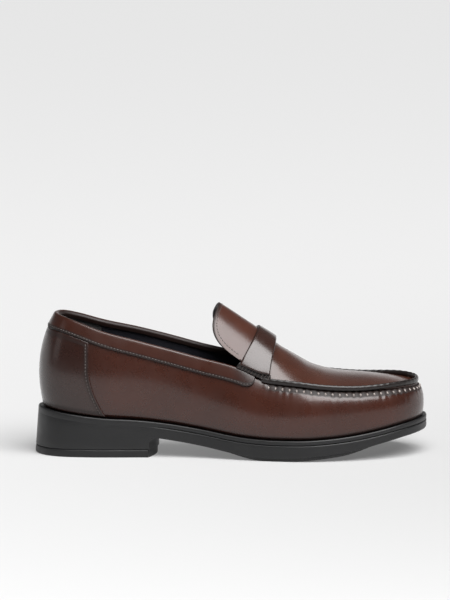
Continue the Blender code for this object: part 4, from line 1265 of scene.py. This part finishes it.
def make_bed(looks, paint):
    """Heel cushion and the sock that rises over it, as bodies under the outline with a crowned top."""
    end = CUSHION_LENGTH - LENGTH / 2
    heel_end, toe_end = ends_of_outline()
    low = BOARD_HIGH + GAP
    x = cosine(heel_end + 0.01 * MM, 2 * end - heel_end, 120)
    x = x[x <= end]
    rows = ((1.2, 1, 0), (0.5, 1, -0.15), (0.1, 1, -0.5), (0.0, 0.5, 0), (0.1, 0, 0.4), (0.6, 0, 0))
    crown = 0.12 * MM * np.sin(np.pi * middle_places(16))
    points, faces = inner_sections(x, rim(x) + low, rim(x) + low + pad_height(x), rows, crown)
    pad = piece("heel_pad", points, faces, paint["foam"], join=True)
    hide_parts("heel_cushion")
    finish_piece(pad)
    x = cosine(heel_end + 0.01 * MM, toe_end - 0.01 * MM, 200)
    raised = 1 - smoothstep(end - 20 * MM, end + 14 * MM, x)
    base = rim(x) + low + (CUSHION + GAP) * raised + 0.7 * MM * raised * (1 - raised) * 4
    crown = 0.5 * MM * (2 * middle_places(16) - 1) ** 6
    points, faces = inner_sections(x, base, base + SOCK, rows, crown)
    sock = piece("sock", points, faces, paint["sock"], join=True)
    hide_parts("sock_liner")
    finish_piece(sock)


def inner_sections(x, low, high, rows, crown):
    """A body in the space inside the linings: rows are (inset, share of the height, distance added)."""
    places, inset, _, z = section_rows(x, low, high, rows)
    sides = []
    for u in places:
        wide = inset[None, :] + inside_inset(u)[:, None]
        plan = sole_loop(np.broadcast_to(u[:, None], z.shape), rim(x)[:, None] + 0 * z, wide)
        sides.append(np.concatenate([plan, z[..., None]], axis=-1))
    return cross_sections(sides, 16, crown=crown)


# Finishes


class Finish:
    """A material being built: its node tree, its surface shader and short ways to add and link nodes."""

    def __init__(self, name, color, roughness, metallic=0.0):
        self.material = bpy.data.materials.new(name)
        self.material.use_nodes = True
        self.tree = self.material.node_tree
        self.shader = self.tree.nodes["Principled BSDF"]
        self.shader.inputs["Base Color"].default_value = (*color, 1)
        self.shader.inputs["Roughness"].default_value = roughness
        self.shader.inputs["Metallic"].default_value = metallic
        self.material.diffuse_color = (*color, 1)
        self.place = self.add("ShaderNodeTexCoord").outputs["Object"]

    def add(self, kind, **settings):
        node = self.tree.nodes.new(kind)
        for key, value in settings.items():
            setattr(node, key, value)
        return node

    def link(self, start, end):
        self.tree.links.new(start, end)

    def noise(self, scale, detail=4.0, roughness=0.55, stretch=None):
        node = self.add("ShaderNodeTexNoise")
        node.inputs["Scale"].default_value = scale
        node.inputs["Detail"].default_value = detail
        node.inputs["Roughness"].default_value = roughness
        place = self.place
        if stretch:
            mapping = self.add("ShaderNodeMapping")
            mapping.inputs["Scale"].default_value = stretch
            self.link(place, mapping.inputs["Vector"])
            place = mapping.outputs["Vector"]
        self.link(place, node.inputs["Vector"])
        return node.outputs["Fac"]

    def cells(self, scale):
        node = self.add("ShaderNodeTexVoronoi", feature="F1")
        node.inputs["Scale"].default_value = scale
        self.link(self.place, node.inputs["Vector"])
        return node.outputs["Distance"]

    def mapped(self, value, low, high, to_low, to_high):
        node = self.add("ShaderNodeMapRange")
        self.link(value, node.inputs["Value"])
        for name, number in (("From Min", low), ("From Max", high), ("To Min", to_low), ("To Max", to_high)):
            node.inputs[name].default_value = number
        return node.outputs["Result"]

    def mix(self, amount, first, second):
        """Colour mix; first and second are colours or sockets."""
        node = self.add("ShaderNodeMix", data_type="RGBA")
        self.link(amount, node.inputs["Factor"])
        for value, index in ((first, 6), (second, 7)):
            if isinstance(value, tuple):
                node.inputs[index].default_value = (*value, 1)
            else:
                self.link(value, node.inputs[index])
        return node.outputs[2]

    def maths(self, operation, first, second):
        node = self.add("ShaderNodeMath", operation=operation)
        for value, index in ((first, 0), (second, 1)):
            if isinstance(value, (int, float)):
                node.inputs[index].default_value = value
            else:
                self.link(value, node.inputs[index])
        return node.outputs[0]

    def color(self, socket):
        self.link(socket, self.shader.inputs["Base Color"])

    def roughness(self, socket):
        self.link(socket, self.shader.inputs["Roughness"])

    def bump(self, socket, strength, distance):
        node = self.add("ShaderNodeBump")
        node.inputs["Strength"].default_value = strength
        node.inputs["Distance"].default_value = distance
        self.link(socket, node.inputs["Height"])
        self.link(node.outputs["Normal"], self.shader.inputs["Normal"])

    def attribute(self, name):
        return self.add("ShaderNodeAttribute", attribute_name=name).outputs["Fac"]


def shade(color, factor):
    return tuple(min(channel * factor, 1.0) for channel in color)


def polished_leather(name, color, looks, gloss=1.0, dark=0.16):
    """Burnished calf: cloudy patina and a thin polish, dark and dull where the wear_and_shade attribute rises; it
    holds real worn and dyed edges as well as painted shade.
    """
    finish = Finish(name, color, 0.3)
    cloud = finish.noise(26, 5, 0.6)
    fine = finish.noise(210, 3, 0.5)
    patina = finish.mix(finish.mapped(cloud, 0.3, 0.7, 0, 1), shade(color, 0.8), shade(color, 1.2))
    patina = finish.mix(finish.mapped(fine, 0.35, 0.75, 0, 0.15), patina, shade(color, 0.75))
    # wear_and_shade darkens the colour and dulls the polish: real worn and dyed edges, and painted shade.
    wear_and_shade = finish.attribute("wear_and_shade")
    burnt = finish.maths("MULTIPLY", wear_and_shade, finish.mapped(cloud, 0.25, 0.75, 0.82, 1.12))
    finish.color(finish.mix(finish.mapped(burnt, 0, 1, 0, 1), patina, shade(color, dark)))
    base = 0.33 - 0.06 * gloss
    rough = finish.mapped(finish.noise(95, 4), 0.3, 0.7, base - 0.03, base + 0.05)
    finish.roughness(finish.maths("ADD", rough, finish.mapped(wear_and_shade, 0.5, 1, 0, 0.3)))
    finish.bump(finish.noise(900, 3, 0.6), looks.grain_strength, 0.12 * MM)
    coat = finish.mapped(wear_and_shade, 0.3, 0.9, looks.polish * gloss, 0)
    finish.link(coat, finish.shader.inputs["Coat Weight"])
    finish.shader.inputs["Coat Roughness"].default_value = 0.16
    finish.shader.inputs["Specular IOR Level"].default_value = 0.5
    return finish.material


def lining_leather(name, color, rough=0.55):
    """Smooth lining leather: a faint mottle, fine pores and a dull face."""
    finish = Finish(name, color, rough)
    cloud = finish.noise(60, 4)
    finish.color(finish.mix(finish.mapped(cloud, 0.3, 0.7, 0, 1), shade(color, 0.8), shade(color, 1.3)))
    finish.roughness(finish.mapped(finish.noise(240, 3), 0.3, 0.7, rough - 0.06, rough + 0.08))
    finish.bump(finish.cells(1300), 0.25, 0.1 * MM)
    return finish.material


def suede(name, color):
    """Napped suede: soft clouds where the nap lies over, a fuzzy fine noise and a sheen."""
    finish = Finish(name, color, 0.9)
    nap = finish.noise(120, 5, 0.7)
    finish.color(finish.mix(finish.mapped(nap, 0.35, 0.65, 0, 1), shade(color, 0.7), shade(color, 1.4)))
    finish.bump(finish.noise(2600, 3, 0.7), 0.5, 0.2 * MM)
    finish.shader.inputs["Sheen Weight"].default_value = 0.3
    return finish.material


def moulded_rubber(name, color, rough=0.42):
    """Moulded rubber: even, with a very fine texture from the mould and slightly duller patches."""
    finish = Finish(name, color, rough)
    patch = finish.noise(34, 4)
    finish.color(finish.mix(finish.mapped(patch, 0.3, 0.7, 0, 1), shade(color, 0.85), shade(color, 1.15)))
    finish.roughness(finish.mapped(finish.noise(80, 5), 0.3, 0.7, rough - 0.05, rough + 0.08))
    finish.bump(finish.noise(2200, 2, 0.5), 0.12, 0.08 * MM)
    return finish.material


def waxed_thread(name, color, rough=0.4):
    """Waxed twisted thread: bands across the twist and a satin face."""
    finish = Finish(name, color, rough)
    twist = finish.noise(2400, 2, 0.5, (1.0, 1.0, 0.35))
    finish.color(finish.mix(finish.mapped(twist, 0.3, 0.7, 0, 1), shade(color, 0.65), shade(color, 1.35)))
    finish.bump(twist, 0.4, 0.12 * MM)
    finish.shader.inputs["Coat Weight"].default_value = 0.25
    return finish.material


def fibre_board(name, color):
    """Bonded leather fibre: fine specks pressed into a flat board."""
    finish = Finish(name, color, 0.85)
    specks = finish.noise(900, 4, 0.75)
    finish.color(finish.mix(finish.mapped(specks, 0.4, 0.6, 0, 1), shade(color, 0.7), shade(color, 1.2)))
    finish.bump(specks, 0.3, 0.15 * MM)
    return finish.material


def granulated_cork(name, color):
    """Cork granules a millimetre or two across, darker where they meet."""
    finish = Finish(name, color, 0.9)
    grains = finish.cells(620)
    finish.color(finish.mix(finish.mapped(grains, 0.1, 0.7, 0, 1), shade(color, 1.25), shade(color, 0.45)))
    finish.bump(grains, 0.6, 0.4 * MM)
    return finish.material


def latex_foam(name, color):
    """Open foam: small dark pores in a pale body."""
    finish = Finish(name, color, 0.95)
    pores = finish.cells(1100)
    finish.color(finish.mix(finish.mapped(pores, 0.05, 0.35, 0, 1), shade(color, 0.55), color))
    finish.bump(pores, 0.5, 0.3 * MM)
    return finish.material


def spring_steel(name, color):
    """Rolled steel: long faint streaks along the strip."""
    finish = Finish(name, color, 0.34, 1.0)
    streak = finish.noise(300, 3, 0.6, (0.05, 1.0, 1.0))
    finish.color(finish.mix(finish.mapped(streak, 0.3, 0.7, 0, 1), shade(color, 0.8), shade(color, 1.1)))
    finish.roughness(finish.mapped(streak, 0.3, 0.7, 0.28, 0.42))
    return finish.material


def finishes(looks):
    """Every material by its short name, made once."""
    if "upper_leather_finish" in bpy.data.materials:
        return {key: bpy.data.materials[name] for key, name in FINISH_NAMES.items()}
    return {
        "upper": polished_leather(FINISH_NAMES["upper"], tuple(looks.upper_color), looks),
        "apron": polished_leather(FINISH_NAMES["apron"], tuple(looks.apron_color), looks),
        "counter": polished_leather(FINISH_NAMES["counter"], tuple(looks.counter_color), looks, 1.0, 0.3),
        "collar": polished_leather(FINISH_NAMES["collar"], tuple(looks.collar_color), looks, 0.6, 0.2),
        "tongue": polished_leather(FINISH_NAMES["tongue"], tuple(looks.tongue_color), looks, 0.6),
        "strap": polished_leather(FINISH_NAMES["strap"], tuple(looks.strap_color), looks, 1.3),
        "edge": polished_leather(FINISH_NAMES["edge"], tuple(looks.edge_color), looks, 0.6, 0.5),
        "lining": lining_leather(FINISH_NAMES["lining"], tuple(looks.lining_color)),
        "sock": lining_leather(FINISH_NAMES["sock"], tuple(looks.sock_color), 0.6),
        "grip": suede(FINISH_NAMES["grip"], tuple(looks.grip_color)),
        "rubber": moulded_rubber(FINISH_NAMES["rubber"], tuple(looks.rubber_color)),
        "lift_rubber": moulded_rubber(FINISH_NAMES["lift_rubber"], tuple(looks.lift_color), 0.5),
        "thread": waxed_thread(FINISH_NAMES["thread"], tuple(looks.thread_color)),
        "seam_thread": waxed_thread(FINISH_NAMES["seam_thread"], tuple(looks.seam_thread_and_highlight_color), 0.3),
        "board": fibre_board(FINISH_NAMES["board"], BOARD_COLOR),
        "cork": granulated_cork(FINISH_NAMES["cork"], CORK_COLOR),
        "foam": latex_foam(FINISH_NAMES["foam"], FOAM_COLOR),
        "steel": spring_steel(FINISH_NAMES["steel"], STEEL_COLOR),
    }


BOARD_COLOR = (0.32, 0.22, 0.14)
CORK_COLOR = (0.36, 0.22, 0.11)
FOAM_COLOR = (0.55, 0.52, 0.44)
STEEL_COLOR = (0.55, 0.55, 0.56)

FINISH_NAMES = {
    "upper": "upper_leather_finish",
    "apron": "apron_leather_finish",
    "counter": "counter_leather_finish",
    "collar": "collar_leather_finish",
    "tongue": "tongue_leather_finish",
    "strap": "strap_leather_finish",
    "edge": "burnished_edge_finish",
    "lining": "lining_finish",
    "sock": "sock_finish",
    "grip": "suede_finish",
    "rubber": "rubber_finish",
    "lift_rubber": "top_lift_finish",
    "thread": "thread_finish",
    "seam_thread": "seam_thread_and_highlight_finish",
    "board": "fibre_board_finish",
    "cork": "cork_finish",
    "foam": "foam_finish",
    "steel": "steel_finish",
}

INNER_PIECES = {
    "insole_board": "board",
    "shank_board": "board",
    "heel_stiffener": "board",
    "toe_puff": "board",
    "bottom_filler": "cork",
    "steel_shank": "steel",
    "shank_rivet_front": "steel",
    "shank_rivet_rear": "steel",
}


def finish_inner(looks, paint):
    """The pieces inside the shoe keep their frame shapes and get their own materials."""
    for node, key in INNER_PIECES.items():
        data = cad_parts[node].data
        data.materials.clear()
        data.materials.append(paint[key])


# Stage


def make_stage(looks):
    """Flat pale floor, a long softbox above and in front, a weak one beside, and the camera."""
    x, y = np.meshgrid(*(np.linspace(-looks.floor_reach, looks.floor_reach, 12),) * 2)
    points = np.stack([x, y, 0 * x], axis=-1).reshape(-1, 3)
    mesh = bpy.data.meshes.new("seamless_floor")
    mesh.from_pydata(points.tolist(), [], grid_quads(12, 12).tolist())
    floor = bpy.data.objects.new("seamless_floor", mesh)
    bpy.context.scene.collection.objects.link(floor)
    mesh.materials.append(floor_finish(looks))
    bpy.context.scene.world = studio(looks)
    bpy.context.scene.view_settings.view_transform = "Standard"
    add_light("overhead_softbox", SOFTBOX, SOFTBOX_TARGET, SOFTBOX_SIZE, looks.overhead)
    add_light("heel_softbox", SIDE_LIGHT, SIDE_LIGHT_TARGET, SIDE_LIGHT_SIZE, looks.side)
    add_camera()


def studio(looks):
    """Even dim light from all round, with a pale backdrop low down behind the shoe."""
    world = bpy.data.worlds.new("studio")
    world.use_nodes = True
    tree = world.node_tree
    back = tree.nodes["Background"]
    back.inputs["Color"].default_value = (1, 1, 1, 1)
    place = tree.nodes.new("ShaderNodeTexCoord")
    split = tree.nodes.new("ShaderNodeSeparateXYZ")
    tree.links.new(place.outputs["Generated"], split.inputs[0])
    steps = []
    for axis, low, high, start, end in (("Z", 0.1, 0.3, 1, 0), ("Y", -0.1, 0.3, 0, 1)):
        ramp = tree.nodes.new("ShaderNodeMapRange")
        for name, value in (("From Min", low), ("From Max", high), ("To Min", start), ("To Max", end)):
            ramp.inputs[name].default_value = value
        tree.links.new(split.outputs[axis], ramp.inputs["Value"])
        steps.append(ramp.outputs["Result"])
    both = tree.nodes.new("ShaderNodeMath")
    both.operation = "MULTIPLY"
    for step, socket in zip(steps, both.inputs, strict=False):
        tree.links.new(step, socket)
    glow = tree.nodes.new("ShaderNodeMath")
    glow.operation = "MULTIPLY_ADD"
    tree.links.new(both.outputs[0], glow.inputs[0])
    glow.inputs[1].default_value = BACKDROP_LEVEL - looks.fill
    glow.inputs[2].default_value = looks.fill
    tree.links.new(glow.outputs[0], back.inputs["Strength"])
    return world


def floor_finish(looks):
    """Matt floor whose own glow makes up for the softbox's fall-off: glow * (1 - (h^2 / (h^2 + r^2))^2).

    Far in front of the shoe it darkens, where it would otherwise show as a haze on the upper.
    """
    white = Finish("floor_finish", (looks.floor_tone,) * 3, 0.9)
    white.shader.inputs["Specular IOR Level"].default_value = 0.0
    white.shader.inputs["Emission Color"].default_value = (1, 1, 1, 1)
    level = white.add("ShaderNodeVectorMath", operation="MULTIPLY")
    white.link(white.place, level.inputs[0])
    level.inputs[1].default_value = (1, 1, 0)
    away = white.add("ShaderNodeVectorMath", operation="DISTANCE")
    white.link(level.outputs[0], away.inputs[0])
    away.inputs[1].default_value = (SOFTBOX[0], SOFTBOX[1] / 2, 0)
    square = white.maths("MULTIPLY", away.outputs["Value"], away.outputs["Value"])
    share = white.maths("DIVIDE", SOFTBOX[2] ** 2, white.maths("ADD", square, SOFTBOX[2] ** 2))
    lost = white.maths("SUBTRACT", 1, white.maths("POWER", share, 2))
    depth = white.add("ShaderNodeSeparateXYZ")
    white.link(white.place, depth.inputs[0])
    front = white.mapped(depth.outputs["Y"], *FLOOR_FADE, 0.0, 1.0)
    glow = white.maths("MULTIPLY", white.maths("MULTIPLY", lost, looks.floor_glow), front)
    white.link(glow, white.shader.inputs["Emission Strength"])
    tone = (looks.floor_tone,) * 3
    white.color(white.mix(front, shade(tone, FLOOR_FADE_TONE), tone))
    return white.material


def aim(obj, place, target):
    obj.location = place
    obj.rotation_euler = (Vector(target) - Vector(place)).to_track_quat("-Z", "Y").to_euler()


def add_light(name, place, target, extent, power):
    data = bpy.data.lights.new(name, "AREA")
    data.shape = "RECTANGLE"
    data.size, data.size_y = extent
    data.energy = power
    obj = bpy.data.objects.new(name, data)
    bpy.context.scene.collection.objects.link(obj)
    aim(obj, place, target)


def add_camera():
    """Long lens, level with the shoe's lateral side and a little above it."""
    data = bpy.data.cameras.new("camera")
    data.sensor_fit = "VERTICAL"
    data.sensor_height = 36
    data.lens = CAMERA_LENS
    back, up = CAMERA_DISTANCE * np.cos(CAMERA_LIFT), CAMERA_DISTANCE * np.sin(CAMERA_LIFT)
    place = (CAMERA_TARGET[0], CAMERA_TARGET[1] - back, CAMERA_TARGET[2] + up)
    obj = bpy.data.objects.new("camera", data)
    bpy.context.scene.collection.objects.link(obj)
    aim(obj, place, CAMERA_TARGET)
    bpy.context.scene.camera = obj


# Settings and operators


def hue(name, text, value):
    return bpy.props.FloatVectorProperty(
        name=name, description=text, default=value, size=3, subtype="COLOR", min=0, max=1
    )


def size(name, text, value, low, high):
    return bpy.props.FloatProperty(
        name=name, description=text, default=value, min=low, max=high, unit="LENGTH", subtype="DISTANCE"
    )


def share(name, text, value, low=0.0, high=1.0):
    return bpy.props.FloatProperty(name=name, description=text, default=value, min=low, max=high)


class LoaferLooks(bpy.types.PropertyGroup):
    """Colours, stitch sizes and polish of the shoe."""

    upper_color: hue("Upper", "Base colour of the wall and quarters", (0.042, 0.0095, 0.004))
    apron_color: hue("Apron", "Base colour of the apron", (0.052, 0.0145, 0.007))
    counter_color: hue("Counter", "Base colour of the heel counter cover", (0.026, 0.0075, 0.0045))
    collar_color: hue("Collar", "Base colour of the folded collar band", (0.038, 0.009, 0.004))
    tongue_color: hue("Tongue", "Base colour of the tongue", (0.056, 0.0155, 0.008))
    strap_color: hue("Strap", "Base colour of the saddle strap", (0.03, 0.0085, 0.0045))
    edge_color: hue("Burnished edge", "Colour of the rolled seam and strap ends", (0.012, 0.007, 0.006))
    lining_color: hue("Lining", "Colour of the linings", (0.012, 0.012, 0.018))
    sock_color: hue("Sock", "Colour of the sock over the insole", (0.02, 0.018, 0.02))
    grip_color: hue("Heel grip", "Colour of the suede at the heel", (0.045, 0.043, 0.045))
    rubber_color: hue("Sole rubber", "Colour of the sole and the welt", (0.009, 0.009, 0.0095))
    lift_color: hue("Top lift", "Colour of the heel's top lift", (0.008, 0.008, 0.0085))
    thread_color: hue("Thread", "Colour of the machine stitches", (0.055, 0.042, 0.038))
    # Pale seam thread: its colour is lightened to paint highlights on the hand stitches.
    seam_thread_and_highlight_color: hue("Seam thread", "Colour of the hand-sewn apron stitches", (0.3, 0.26, 0.24))
    seam_pitch: size("Seam pitch", "Distance between hand stitches round the apron", 5.4 * MM, 3 * MM, 9 * MM)
    stitch_pitch: size("Stitch pitch", "Distance between machine stitches", 2.5 * MM, 1.5 * MM, 5 * MM)
    pucker_depth: size("Pucker depth", "How deep the wall is gathered at each hand stitch", 0.6 * MM, 0, 1.5 * MM)
    lip_height: size("Lip height", "Height of the rolled seam round the apron", 4.4 * MM, 2 * MM, 5 * MM)
    strap_crown: size("Strap crown", "How far the strap swells across its width", 0.35 * MM, 0, 1 * MM)
    rib_pitch: size("Tread pitch", "Distance between the ribs of the tread", 4.5 * MM, 2 * MM, 9 * MM)
    grain_strength: share("Grain", "Strength of the leather's pores and fine creases", 0.08)
    polish: share("Polish", "Weight of the clear polish on the leather", 0.4)


class LoaferStage(bpy.types.PropertyGroup):
    """Floor and lights."""

    floor_reach: size("Floor", "Half the width of the floor", 8.0, 1, 20)
    floor_tone: share("Floor tone", "How light the floor is", 0.44)
    floor_glow: share("Floor glow", "Light that the floor gives off far from the softbox", 0.72, 0, 2)
    fill: share("Fill", "Even light from all round", 0.12, 0, 2)
    overhead: share("Overhead power", "Watts of the softbox above the shoe", 56, 0, 500)
    side: share("Side power", "Watts of the softbox at the heel's side", 1, 0, 500)


class LoaferOperator:
    """What every piece's operator shares: run the maker with the scene's settings."""

    bl_options = {"REGISTER", "UNDO"}

    def execute(self, context):
        looks = context.scene.loafer_looks
        self.make(looks, finishes(looks))
        return {"FINISHED"}


class LOAFER_OT_sole(LoaferOperator, bpy.types.Operator):
    """Build the moulded sole, its top lift and the welt"""

    bl_idname = "loafer.sole"
    bl_label = "Sole"

    def make(self, looks, paint):
        make_sole(looks, paint)
        make_lift(looks, paint)
        make_welt(looks, paint)


class LOAFER_OT_upper(LoaferOperator, bpy.types.Operator):
    """Build the wall with its puckers and the heel counter cover"""

    bl_idname = "loafer.upper"
    bl_label = "Wall and counter"

    def make(self, looks, paint):
        make_wall(looks, paint)
        make_counter(looks, paint)


class LOAFER_OT_collar(LoaferOperator, bpy.types.Operator):
    """Build the folded collar band"""

    bl_idname = "loafer.collar"
    bl_label = "Collar"

    def make(self, looks, paint):
        make_collar(looks, paint)


class LOAFER_OT_apron(LoaferOperator, bpy.types.Operator):
    """Build the apron and the rolled seam round it"""

    bl_idname = "loafer.apron"
    bl_label = "Apron"

    def make(self, looks, paint):
        make_apron(looks, paint)


class LOAFER_OT_tongue(LoaferOperator, bpy.types.Operator):
    """Build the tongue with its lining and stitch line"""

    bl_idname = "loafer.tongue"
    bl_label = "Tongue"

    def make(self, looks, paint):
        make_tongue(looks, paint)


class LOAFER_OT_strap(LoaferOperator, bpy.types.Operator):
    """Build the saddle strap and the lacing at its ends"""

    bl_idname = "loafer.strap"
    bl_label = "Strap"

    def make(self, looks, paint):
        make_strap(looks, paint)


class LOAFER_OT_stitching(LoaferOperator, bpy.types.Operator):
    """Sew the collar, the counter and the apron seam"""

    bl_idname = "loafer.stitching"
    bl_label = "Stitching"

    def make(self, looks, paint):
        make_stitching(looks, paint)


class LOAFER_OT_linings(LoaferOperator, bpy.types.Operator):
    """Build the linings and the suede heel grip"""

    bl_idname = "loafer.linings"
    bl_label = "Linings"

    def make(self, looks, paint):
        make_linings(looks, paint)


class LOAFER_OT_bed(LoaferOperator, bpy.types.Operator):
    """Build the heel cushion and the sock"""

    bl_idname = "loafer.bed"
    bl_label = "Sock and cushion"

    def make(self, looks, paint):
        make_bed(looks, paint)


class LOAFER_OT_inner(LoaferOperator, bpy.types.Operator):
    """Give the boards, filler, shank and rivets their materials"""

    bl_idname = "loafer.inner"
    bl_label = "Inner pieces"

    def make(self, looks, paint):
        finish_inner(looks, paint)


class LOAFER_OT_stage(bpy.types.Operator):
    """Set up the floor, the lights and the camera"""

    bl_idname = "loafer.stage"
    bl_label = "Stage"

    def execute(self, context):
        make_stage(context.scene.loafer_stage)
        return {"FINISHED"}


OPERATORS = (
    LOAFER_OT_sole,
    LOAFER_OT_upper,
    LOAFER_OT_collar,
    LOAFER_OT_apron,
    LOAFER_OT_tongue,
    LOAFER_OT_strap,
    LOAFER_OT_stitching,
    LOAFER_OT_linings,
    LOAFER_OT_bed,
    LOAFER_OT_inner,
    LOAFER_OT_stage,
)


class LOAFER_PT_panel(bpy.types.Panel):
    """The loafer's settings and a button for each group of pieces"""

    bl_idname = "LOAFER_PT_panel"
    bl_label = "Penny Loafer"
    bl_space_type = "VIEW_3D"
    bl_region_type = "UI"
    bl_category = "Loafer"

    def draw(self, context):
        for settings in (context.scene.loafer_looks, context.scene.loafer_stage):
            box = self.layout.box()
            for name in settings.bl_rna.properties.keys():
                if name not in {"rna_type", "name"}:
                    box.prop(settings, name)
        column = self.layout.column(align=True)
        for operator in OPERATORS:
            column.operator(operator.bl_idname)


CLASSES = (LoaferLooks, LoaferStage, *OPERATORS, LOAFER_PT_panel)


def register():
    for made in CLASSES:
        bpy.utils.register_class(made)
    bpy.types.Scene.loafer_looks = bpy.props.PointerProperty(type=LoaferLooks)
    bpy.types.Scene.loafer_stage = bpy.props.PointerProperty(type=LoaferStage)


def unregister():
    del bpy.types.Scene.loafer_stage
    del bpy.types.Scene.loafer_looks
    for made in reversed(CLASSES):
        bpy.utils.unregister_class(made)


def main():
    register()
    for operator in OPERATORS:
        group, name = operator.bl_idname.split(".")
        getattr(getattr(bpy.ops, group), name)()


if __name__ == "__main__":
    main()
